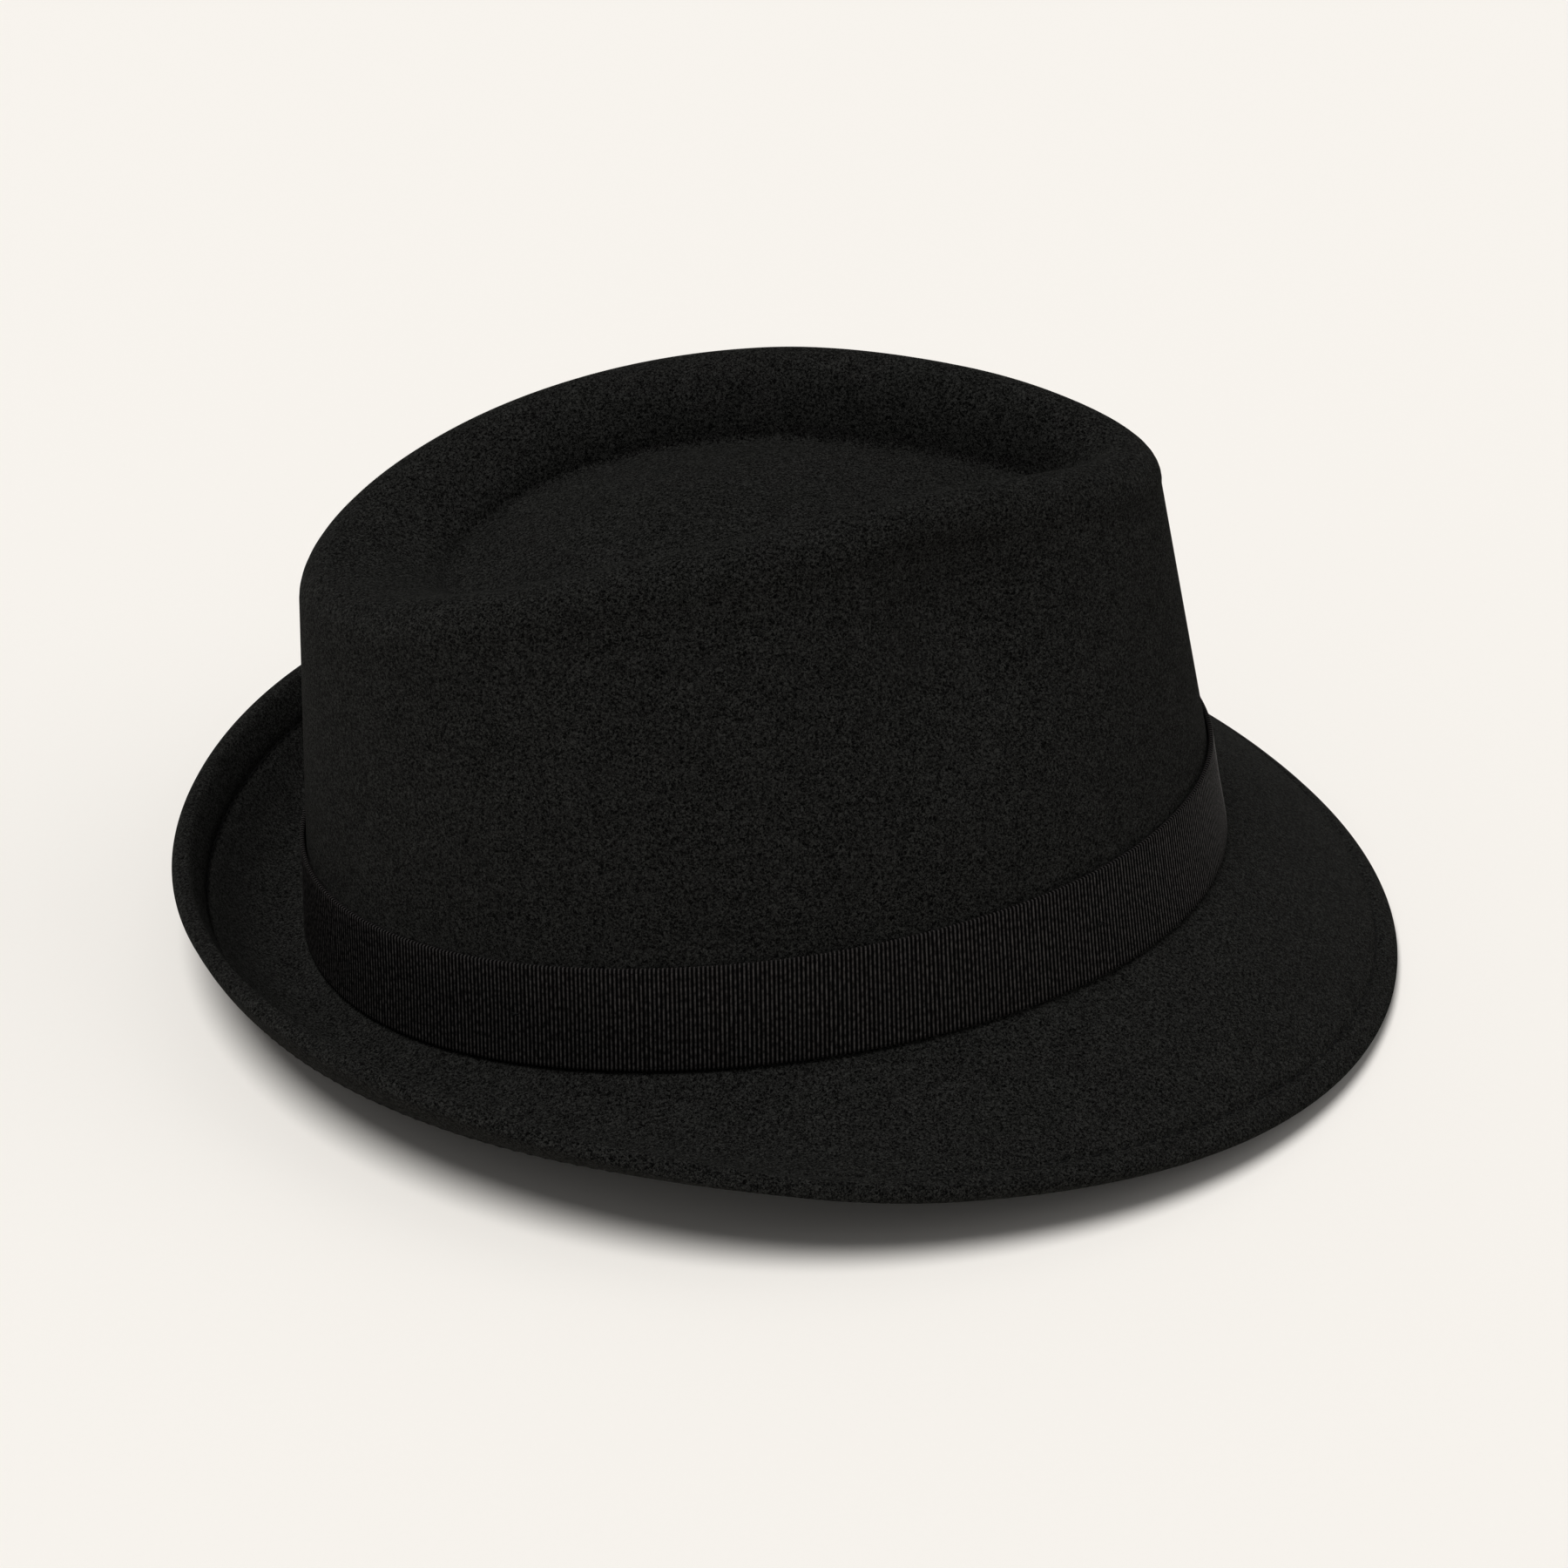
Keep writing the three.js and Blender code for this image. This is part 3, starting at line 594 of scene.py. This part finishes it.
def pulled_in(felt, t, from_edge):
    """How far the stitches pull the felt's face in; the welt puffs up beside them."""
    puff = 0.35 * np.sin(math.pi * np.clip(from_edge / WELT_WIDTH, 0, 1))
    groove = np.exp(-(((from_edge - WELT_WIDTH) / 0.75) ** 2))
    holes = 0.68 + 0.32 * np.cos(stitch_count(felt) * t)
    return groove * holes * felt.groove / MM - puff


def felt_rows():
    """Places along the felt: whole millimetres from the edge first, then shares of the way."""
    brim = np.linspace(0.37, 1, 10)
    wall = np.linspace(1, 2, 17)[1:]
    shoulder = np.linspace(2, 3, 11)[1:]
    crown = np.concatenate([np.linspace(3, 3.5, 15)[1:], np.linspace(3.5, 4, 11)[1:]])
    outside = [("mm", d) for d in WELT_ROWS] + [("share", w) for w in (*brim, *wall, *shoulder, *crown)]
    hidden = (*np.linspace(1.1, 2, 8), *np.linspace(2, 3, 6)[1:], *np.linspace(3, 4, 13)[1:])
    inside = [("mm", d) for d in WELT_ROWS] + [("share", w) for w in (*brim, *hidden)]
    return outside, inside


class FEDORA_OT_felt(bpy.types.Operator):
    """Block the felt: brim, crown, moat and dome in one piece with its stitched edge"""

    bl_idname = "fedora.felt"
    bl_label = "Felt"

    def execute(self, context):
        felt = context.scene.fedora_felt
        outside, inside = felt_rows()
        rows = [("out", *r) for r in reversed(outside)]
        rows += [("edge", "mm", math.pi * i / (EDGE_ROWS + 1)) for i in range(1, EDGE_ROWS + 1)]
        rows += [("in", *r) for r in inside]
        count = len(rows) - 1
        columns = 3 * stitch_count(felt)

        def place(across, along):
            t = across * TAU - math.pi
            index = np.round(along * count).astype(int)
            points = np.zeros((len(t), 3))
            for i, row in enumerate(rows):
                here = index == i
                points[here] = self.row(felt, t[here], *row)
            points[:, 2] = np.maximum(points[:, 2], FLOOR_GAP - SET_DOWN[2])
            return points

        bm = laid_cloth(columns, count, place, (BAND_LENGTH, FELT_MAP))
        piece = finished(bm, "blocked_felt", wool_felt(felt.felt_colour))
        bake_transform(piece)
        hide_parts("felt_body", "front_brim")
        return {"FINISHED"}

    def row(self, felt, t, side, unit_name, value):
        """One row of points: on the outer face, the inner one, or round the edge at an angle."""
        width = brim_width(t)
        if side == "edge":
            start = np.full_like(t, EDGE_TURN) / width
            normal, inward = felt_frame(t, start)
            depth = WELT_THICK / 2 * (1 - math.cos(value))
            reach = EDGE_TURN + WELT_THICK * 0.3 * (math.sin(value) - 1)
            puff = pulled_in(felt, t, np.full_like(t, EDGE_TURN)) * math.cos(value)
            return felt_point(t, start) - normal * (depth + puff)[:, None] - inward * reach
        w = value / width if unit_name == "mm" else np.full_like(t, value)
        from_edge = w * width
        thick = felt.thickness / MM
        if side == "out":
            depth = np.where(w < 1, pulled_in(felt, t, from_edge), 0.0)
        else:
            step = smooth(np.clip((from_edge - WELT_STEP) / WELT_STEP_WIDTH, 0, 1))
            under = WELT_THICK + (thick - WELT_THICK) * step
            depth = np.where(w < 1, under - 0.7 * pulled_in(felt, t, from_edge), thick)
        return felt_offset(t, w, depth)


class FEDORA_OT_edge_stitches(bpy.types.Operator):
    """Sew the row of stitches that holds the turned-under edge, above and below"""

    bl_idname = "fedora.edge_stitches"
    bl_label = "Edge stitches"

    def execute(self, context):
        felt = context.scene.fedora_felt
        bm = bmesh.new()
        count = stitch_count(felt)
        holes = (np.arange(count) + 0.5) * TAU / count - math.pi
        reach = 0.92 * TAU / count / 2
        for face_depth in (felt.groove / MM * 0.8, WELT_THICK - felt.groove / MM * 0.5):
            ends = []
            for t in (holes - reach, holes + reach):
                ends.append(felt_offset(t, WELT_WIDTH / brim_width(t), np.full_like(t, face_depth)))
            sewn_stitches(bm, zip(*ends), THREAD)
        piece = finished(bm, "edge_stitches", thread_finish(context))
        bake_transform(piece)
        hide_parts("edge_stitching", "edge_stitching_front")
        return {"FINISHED"}


# ---- grosgrain ---------------------------------------------------------------------------------------
RIB_COLUMNS = 6
SELVEDGE_LOOP = 0.5  # how far a rib's end stands out past the groove beside it
BAND_GAP = 0.15      # between the band and the felt
BOW_LIFT = 0.8       # the bow's ribbon is folded this much narrower at each edge
TAIL_DEPTH, TAIL_SLANT = -1.75, 6
LOOP_LOW, LOOP_HIGH, LOOP_SWELL = 2.55, 3.5, 0.9
KNOT_TOP, KNOT_DROP, KNOT_TUCK = 4.9, 2.6, 1.2
TACK_THREAD, TACK_REACH, TACK_LEAN, TACK_LIFT = 0.4, 0.9, 0.35, 0.32


def rib_height(phase):
    """The rounded top of a rib, 1 at its crest and 0 in the groove beside it."""
    return np.sqrt(np.abs(np.cos(math.pi * phase)))


def ribbon_rows(width):
    """Rows across the ribbon: up its outer face and down its inner one, as (height, face, end)."""
    low = [(0.15, 0.6), (0.8, 0)]
    high = [(width - height, -end) for height, end in reversed(low)]
    face = [*low, (width / 2, 0), *high]
    up = [(height, 1, end) for height, end in face]
    down = [(height, -1, end) for height, end in reversed(face)]
    return [(0, 0, 1), *up, (width, 0, -1), *down]


def ribbon_strip(trim, path, path_length, width, on_hat, closed=False):
    """A strip of grosgrain along a path of (along, depth) points, with its ribs across it.

    path(share) gives the strip's middle line in the plane through its thickness, and on_hat(along,
    up, depth) sets a point of it on the hat. The ribs' ends stand out at both selvedges as loops.
    """
    ribs = round(path_length / (trim.rib_pitch / MM))
    rows = ribbon_rows(width)
    half = trim.ribbon_thick / MM / 2

    def place(share, ring):
        phase = share * ribs
        relief = rib_height(phase) * trim.rib_relief / MM
        up, face, end = close_round(ring, rows).T
        along, depth = path(share)
        ahead, behind = path(np.clip(share + 1e-4, 0, 1)), path(np.clip(share - 1e-4, 0, 1))
        run = unit(np.stack([ahead[0] - behind[0], ahead[1] - behind[1]], axis=-1))
        reach = face * (half + relief)
        up = up - end * SELVEDGE_LOOP * (rib_height(phase) - 0.5)
        return on_hat(along + run[:, 1] * reach, up, depth - run[:, 0] * reach)

    bm = laid_cloth(ribs * RIB_COLUMNS, len(rows), place, (ribs * RIB_MAP, 2 * width))
    if not closed:
        bmesh.ops.holes_fill(bm, edges=bm.edges, sides=len(rows))
        bmesh.ops.recalc_face_normals(bm, faces=bm.faces)
    return bm


class FEDORA_OT_band(bpy.types.Operator):
    """Lay the grosgrain band round the foot of the crown"""

    bl_idname = "fedora.band"
    bl_label = "Band"

    def execute(self, context):
        trim = context.scene.fedora_trim
        width = trim.ribbon_width / MM
        middle = BAND_GAP + trim.ribbon_thick / MM / 2 + trim.rib_relief / MM

        def path(share):
            return share * BAND_LENGTH, np.full_like(share, -middle)

        def on_hat(along, up, depth):
            # its upper edge stands off a little, in nine slow waves
            ease = 0.22 * smooth(np.clip((up - width * 0.6) / (width * 0.4), 0, 1))
            ease = ease + 0.1 * np.sin(along / BAND_LENGTH * TAU * 9) * up / width
            return on_wall(along, RIBBON_LOW + up, depth - ease)

        bm = ribbon_strip(trim, path, BAND_LENGTH, width, on_hat, closed=True)
        piece = finished(bm, "ribbon_band", ribbon_finish(context), "hat")
        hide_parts("hatband")
        return {"FINISHED"}


def folded_loop(start, end, low, high):
    """A path out along the top of a loop, round its fold and back beneath, as (along, depth)."""
    radius = (high - low) / 2
    run = abs(end - start) - radius
    way = 1 if end > start else -1
    total = 2 * run + math.pi * radius

    def path(share):
        gone = share * total
        swell = LOOP_SWELL * np.sin(math.pi * np.clip(gone / run, 0, 1)) ** 2
        turn = np.clip((gone - run) / radius, 0, math.pi)
        back = np.clip(gone - run - math.pi * radius, 0, run)
        out = np.minimum(gone, run) + radius * np.sin(turn) - back
        middle = (low + high) / 2 + radius * np.cos(turn)
        return start + way * out, -(middle + swell * (gone < run))

    return path, total


class FEDORA_OT_bow(bpy.types.Operator):
    """Fold the flat bow on the wearer's left: a tail, two loops and the knot over them"""

    bl_idname = "fedora.bow"
    bl_label = "Bow"

    def execute(self, context):
        trim = context.scene.fedora_trim
        full = trim.ribbon_width / MM
        middle = length_at(BOW_ANGLE)
        tail_length = BOW_KNOT / 2 + BOW_LOOP + BOW_TAIL

        def tail(share):
            return middle + share * tail_length, np.full_like(share, TAIL_DEPTH)

        def beside(along, up, depth):
            return on_wall(along, RIBBON_LOW + BOW_LIFT + up, depth)

        def slanted(along, up, depth):
            reach = np.clip((along - middle) / tail_length, 0, 1)
            return beside(along - TAIL_SLANT * reach * up / full, up, depth)

        pieces = {"bow_tail": (tail, tail_length, slanted)}
        for node_name, way in (("bow_front_loop", -1), ("bow_rear_loop", 1)):
            start, end = middle + way * 1.5, middle + way * (BOW_KNOT / 2 + BOW_LOOP)
            pieces[node_name] = (*folded_loop(start, end, LOOP_LOW, LOOP_HIGH), beside)
        width = full - 2 * BOW_LIFT
        for node_name, (path, path_length, on_hat) in pieces.items():
            bm = ribbon_strip(trim, path, path_length, width, on_hat)
            piece = self.sewn(context, bm, node_name)

        knot_length = full + KNOT_TUCK

        def over(share):
            drop = KNOT_DROP * np.clip(np.abs(share - 0.5) * 2, 0, 1) ** 6
            return (share - 0.5) * knot_length, drop - KNOT_TOP

        def upright(along, up, depth):
            pucker = 0.5 * np.cos(math.pi * (up - BOW_KNOT / 2) / BOW_KNOT)
            return on_wall(middle + (up - BOW_KNOT / 2), RIBBON_LOW + full / 2 + along, depth - pucker)

        bm = ribbon_strip(trim, over, knot_length, BOW_KNOT, upright)
        self.sewn(context, bm, "bow_knot")
        return {"FINISHED"}

    def sewn(self, context, bm, node_name):
        """Finishes one of the bow's pieces and puts it in its node's place."""
        piece = finished(bm, "ribbon_" + node_name, ribbon_finish(context), "hat")
        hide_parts(node_name)
        return piece


class FEDORA_OT_tacks(bpy.types.Operator):
    """Tack the ribbon to the felt with two crossed stitches at four places"""

    bl_idname = "fedora.tacks"
    bl_label = "Ribbon tacks"

    def execute(self, context):
        trim = context.scene.fedora_trim
        height = RIBBON_LOW + trim.ribbon_width / MM / 2
        depth = np.full(1, -(BAND_GAP + (trim.ribbon_thick + trim.rib_relief) / MM + TACK_LIFT))
        for name, degrees in TACK_ANGLES.items():
            middle = length_at(math.radians(degrees))
            bm = bmesh.new()
            for lean in (-TACK_LEAN, TACK_LEAN):
                ends = [on_wall(np.full(1, middle + side * TACK_REACH), height + side * lean, depth)[0]
                        for side in (-1, 1)]
                sewn_stitches(bm, [ends], TACK_THREAD)
            piece = finished(bm, "tack_" + name, thread_finish(context), "hat")
            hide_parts("ribbon_tack_" + name)
        return {"FINISHED"}


# ---- inside the crown --------------------------------------------------------------------------------
def wall_ring(columns, profile, size, wave=None):
    """A closed band round the inside of the wall, whose section is a ring of (height, depth) points."""

    def place(across, ring):
        t = across * TAU - math.pi
        height, depth = close_round(ring, profile).T
        if wave:
            depth = depth + wave(t, height)
        return felt_offset(t, wall_place(t, height), depth)

    return laid_cloth(columns, len(profile), place, size)


class FEDORA_OT_sweatband(bpy.types.Operator):
    """Line the opening with the leather sweatband, its reed and its row of stitches"""

    bl_idname = "fedora.sweatband"
    bl_label = "Sweatband"

    def execute(self, context):
        leather = grained_leather(context.scene.fedora_inside.leather_colour)
        outer, inner = SWEAT_DEPTH, SWEAT_DEPTH + SWEAT_THICK
        top = SWEAT_LOW + SWEAT_WIDTH
        heights = np.linspace(SWEAT_LOW + 0.3, top - 0.4, 14)
        profile = [(h, outer) for h in heights] + [(top - 0.1, outer + 0.25), (top, (outer + inner) / 2),
                                                   (top - 0.1, inner - 0.25)]
        profile += [(h, inner) for h in reversed(heights)] + [(SWEAT_LOW, (outer + inner) / 2)]

        def creased(t, height):
            stitched = 0.25 * np.exp(-((height - SWEAT_LOW - SWEAT_SEAM) ** 2))
            eased = 0.18 * np.sin(11 * t + 1) * np.clip((height - 8) / 30, 0, 1)
            return eased - stitched * (1 + 0.5 * np.cos(SWEAT_STITCHES * t)) / 2

        bm = wall_ring(380, profile, (BAND_LENGTH, 2 * SWEAT_WIDTH), creased)
        band = finished(bm, "leather_sweatband", leather, "hat")
        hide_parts("sweatband")

        middle = SWEAT_DEPTH + SWEAT_THICK / 2
        radius = 0.6
        turns = np.linspace(0, TAU, 9)[:-1]
        profile = [(REED / 2 + radius * math.sin(a), middle + radius * math.cos(a)) for a in turns]
        bm = wall_ring(240, profile, (BAND_LENGTH, 4))
        reed = finished(bm, "piped_reed", ribbon_finish(context), "hat")
        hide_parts("sweatband_reed")

        bm = bmesh.new()
        step = TAU / SWEAT_STITCHES
        holes = np.arange(SWEAT_STITCHES) * step
        ends = []
        for t in (holes - 0.45 * step, holes + 0.45 * step):
            t = (t + math.pi) % TAU - math.pi
            ends.append(felt_offset(t, wall_place(t, SWEAT_LOW + SWEAT_SEAM), np.full_like(t, inner + 0.12)))
        sewn_stitches(bm, zip(*ends), THREAD)
        row = finished(bm, "sweatband_stitches", thread_finish(context), "hat")
        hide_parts("sweatband_stitching")
        return {"FINISHED"}


SIDE_PLEATS, TIP_GATHERS = 46, 52


def tip_point(t, g, drop):
    """On the lining's tip, from its seam (0) to its middle (1)."""
    seam = felt_offset(t, SATIN_SEAM + 0.012, np.full_like(t, SATIN_DEPTH + 0.3))
    ends = felt_offset(np.array([0, math.pi]), SATIN_SEAM, np.full(2, SATIN_DEPTH))
    middle = ends[:, 2].mean() + TIP_RISE
    gather = 0.25 * np.sin(TIP_GATHERS * t) * np.exp(-g * 9)
    return stacked(mix(seam[:, 0], DOME_X, g), mix(seam[:, 1], 0, g),
                   mix(seam[:, 2], middle, smooth(g)) - drop - gather)


class FEDORA_OT_lining(bpy.types.Operator):
    """Sew the satin lining: a side, a tip that closes it, and a plain patch on the tip"""

    bl_idname = "fedora.lining"
    bl_label = "Lining"

    def execute(self, context):
        inside = context.scene.fedora_inside
        satin = woven_cloth("lining_satin", inside.satin_colour, 0.18, 0.36, 0.1)
        shares = np.linspace(0, 1, 12)
        ring = [(s, 0) for s in shares] + [(s, 1) for s in reversed(shares)]

        def side(across, around):
            t = across * TAU - math.pi
            share, face = close_round(around, ring).T
            low = np.minimum(wall_place(t, SWEAT_LOW + SWEAT_WIDTH - SATIN_TUCK), 1.35)
            w = mix(low, SATIN_SEAM, share)
            pleat = 0.1 * np.sin(SIDE_PLEATS * t) * np.sin(math.pi * share)
            return felt_offset(t, w, SATIN_DEPTH + pleat + face * SATIN_THICK)

        bm = laid_cloth(12 * SIDE_PLEATS, len(ring), side, (BAND_LENGTH, 110))
        piece = finished(bm, "satin_side", satin, "hat")
        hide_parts("lining_side")

        places = np.concatenate([np.linspace(0, 0.3, 8), np.linspace(0.4, 1, 7)])
        disc = [(g, 0) for g in reversed(places)] + [(g, SATIN_THICK) for g in places]

        def tip(across, along):
            t = across * TAU - math.pi
            g, drop = np.array(disc)[np.round(along * (len(disc) - 1)).astype(int)].T
            return tip_point(t, g, drop)

        bm = laid_cloth(8 * TIP_GATHERS, len(disc) - 1, tip, (BAND_LENGTH * 0.8, 140))
        piece = finished(bm, "satin_tip", satin, "hat")
        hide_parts("lining_tip")

        self.patch(context)
        return {"FINISHED"}

    def patch(self, context):
        """Lays the oval patch under the tip, with a stitched-down rim."""
        cloth = woven_cloth("patch_rep", context.scene.fedora_inside.patch_colour, 0.3, 0.6, 0.1)
        under, thick = 1.3, 0.55
        shares = (0.0, 0.4, 0.8, 0.9, 0.95, 1.0)
        disc = [(f, 0) for f in shares] + [(f, thick) for f in reversed(shares)]

        def place(across, along):
            t = across * TAU - math.pi
            f, drop = np.array(disc)[np.round(along * (len(disc) - 1)).astype(int)].T
            rim = tip_point(t, np.zeros_like(t), 0)
            reach = np.hypot(rim[:, 0] - DOME_X, rim[:, 1])
            way = np.arctan2(rim[:, 1], rim[:, 0] - DOME_X)
            oval = 0.5 / np.hypot(np.cos(way) / PATCH_LENGTH, np.sin(way) / PATCH_WIDTH)
            edge = 0.25 * np.exp(-(((f - 0.93) / 0.04) ** 2)) * (drop > 0)
            return tip_point(t, 1 - f * oval / reach, under + drop - edge)

        bm = laid_cloth(160, len(disc) - 1, place, (170, 60))
        piece = finished(bm, "tip_patch", cloth, "hat")
        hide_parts("lining_patch")


class FEDORA_OT_labels(bpy.types.Operator):
    """Sew in the two plain labels: the small one flat, the long one by its upper edge only"""

    bl_idname = "fedora.labels"
    bl_label = "Labels"

    def execute(self, context):
        tape = woven_cloth("woven_tape", context.scene.fedora_inside.tape_colour, 0.28, 0.75, 0.0)
        middle = length_at(math.radians(150))
        width, height = SIZE_LABEL
        low = SWEAT_LOW + SWEAT_WIDTH * 0.4
        thick = 0.35
        inner = SWEAT_DEPTH + SWEAT_THICK + 0.35

        def flat_label(across, up, face):
            hem = sum(0.12 * np.exp(-(((up - seam) / 0.03) ** 2)) for seam in (0.94, 0.06))
            along = middle + (across - 0.5) * width
            return on_wall(along, low + height * up, inner + (thick - hem) * face)

        self.label(flat_label, tape, "hat", "size_label", SIZE_LABEL, "laid", 24)

        low_corner, high_corner = (np.array(c) / MM - SET_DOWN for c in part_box("care_label"))
        size = high_corner - low_corner

        def hung_label(across, up, face):
            down = 1 - up
            curl = 1.6 * down**2 - 0.5 * np.sin(math.pi * across) * down
            return stacked(low_corner[0] + 0.4 * face + curl, low_corner[1] + size[1] * across,
                           high_corner[2] - size[2] * down * 0.99)

        self.label(hung_label, tape, "label_flap", "care_label", CARE_LABEL, "hung", 60)
        return {"FINISHED"}

    def label(self, place, tape, body, node_name, size, held, rows):
        """Weaves one label of a size in mm, where place puts it."""
        shares = np.linspace(0, 1, rows)
        ring = [(s, 0) for s in shares] + [(s, 1) for s in reversed(shares)]
        bm = laid_cloth(36, len(ring), lambda across, around: place(across, *close_round(around, ring).T),
                        (size[0], 2 * size[1]))
        bmesh.ops.holes_fill(bm, edges=bm.edges, sides=len(ring))
        bmesh.ops.recalc_face_normals(bm, faces=bm.faces)
        piece = finished(bm, "woven_" + node_name, tape, body)
        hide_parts(node_name)


# ---- stage -------------------------------------------------------------------------------------------
VIEW_AZIMUTH, VIEW_ELEVATION, VIEW_ROLL = -7.18, 32.43, 2.31  # degrees
VIEW_DISTANCE = 0.924
LOOK_AT = Vector((-0.0036, -0.0097, 0.0436))
LENS = 94.5
PAPER_RADIUS = 6


class FEDORA_OT_stage(bpy.types.Operator):
    """Set the hat on pale paper under a softbox, with a weak window light, and place the camera"""

    bl_idname = "fedora.stage"
    bl_label = "Stage"

    def execute(self, context):
        stage = context.scene.fedora_stage
        bm = bmesh.new()
        bmesh.ops.create_circle(bm, cap_ends=True, segments=96, radius=PAPER_RADIUS)
        floor = finished(bm, "paper_floor", seamless_paper(stage.paper_colour))

        world = bpy.data.worlds.new("even_surround")
        world.use_nodes = True
        background = world.node_tree.nodes["Background"]
        background.inputs["Color"].default_value = (1, 1, 1, 1)
        background.inputs["Strength"].default_value = stage.sky
        context.scene.world = world

        self.lamp("overhead_softbox", (-0.27, -0.19, 1.0), 30, stage.key_strength)
        self.lamp("front_window", (0.8, -0.1, 0.6), 45, stage.side_strength)
        context.scene.view_settings.view_transform = "Standard"
        self.camera(context)
        return {"FINISHED"}

    def lamp(self, name, direction, spread, strength):
        """A distant soft light that comes from a direction, as wide as spread degrees."""
        data = bpy.data.lights.new(name, "SUN")
        data.energy = strength
        data.angle = math.radians(spread)
        lamp = bpy.data.objects.new(name, data)
        lamp.rotation_euler = Vector(direction).to_track_quat("Z", "Y").to_euler()
        bpy.context.scene.collection.objects.link(lamp)

    def camera(self, context):
        """A long lens from above the hat's right side, turned a little about its own axis."""
        azimuth, elevation, roll = map(math.radians, (VIEW_AZIMUTH, VIEW_ELEVATION, VIEW_ROLL))
        back = Vector((math.sin(azimuth) * math.cos(elevation), -math.cos(azimuth) * math.cos(elevation),
                       math.sin(elevation)))
        right = Vector((math.cos(azimuth), math.sin(azimuth), 0))
        up = back.cross(right)
        turned = Matrix((right, up, back)).transposed() @ Matrix.Rotation(roll, 3, "Z")
        data = bpy.data.cameras.new("camera")
        data.lens = LENS
        camera = bpy.data.objects.new("camera", data)
        camera.matrix_world = Matrix.LocRotScale(LOOK_AT + back * VIEW_DISTANCE, turned.to_quaternion(), None)
        context.scene.collection.objects.link(camera)
        context.scene.camera = camera


OPERATORS = (FEDORA_OT_felt, FEDORA_OT_edge_stitches, FEDORA_OT_band, FEDORA_OT_bow, FEDORA_OT_tacks,
             FEDORA_OT_lining, FEDORA_OT_sweatband, FEDORA_OT_labels, FEDORA_OT_stage)


class FEDORA_PT_panel(bpy.types.Panel):
    """Lists the hat's pieces and their settings"""

    bl_idname = "FEDORA_PT_panel"
    bl_label = "Fedora"
    bl_space_type = "VIEW_3D"
    bl_region_type = "UI"
    bl_category = "Fedora"

    def draw(self, context):
        for name, group in GROUPS.items():
            box = self.layout.box()
            for key in group.__annotations__:
                box.prop(getattr(context.scene, name), key)
        for operator in OPERATORS:
            self.layout.operator(operator.bl_idname)


CLASSES = (*GROUPS.values(), *OPERATORS, FEDORA_PT_panel)


def register():
    for cls in CLASSES:
        bpy.utils.register_class(cls)
    for name, group in GROUPS.items():
        setattr(bpy.types.Scene, name, PointerProperty(type=group))


def unregister():
    for name in GROUPS:
        delattr(bpy.types.Scene, name)
    for cls in reversed(CLASSES):
        bpy.utils.unregister_class(cls)


def main():
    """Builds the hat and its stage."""
    register()
    bpy.ops.fedora.felt()
    bpy.ops.fedora.edge_stitches()
    bpy.ops.fedora.band()
    bpy.ops.fedora.bow()
    bpy.ops.fedora.tacks()
    bpy.ops.fedora.lining()
    bpy.ops.fedora.sweatband()
    bpy.ops.fedora.labels()
    bpy.ops.fedora.stage()


if __name__ == "__main__":
    main()
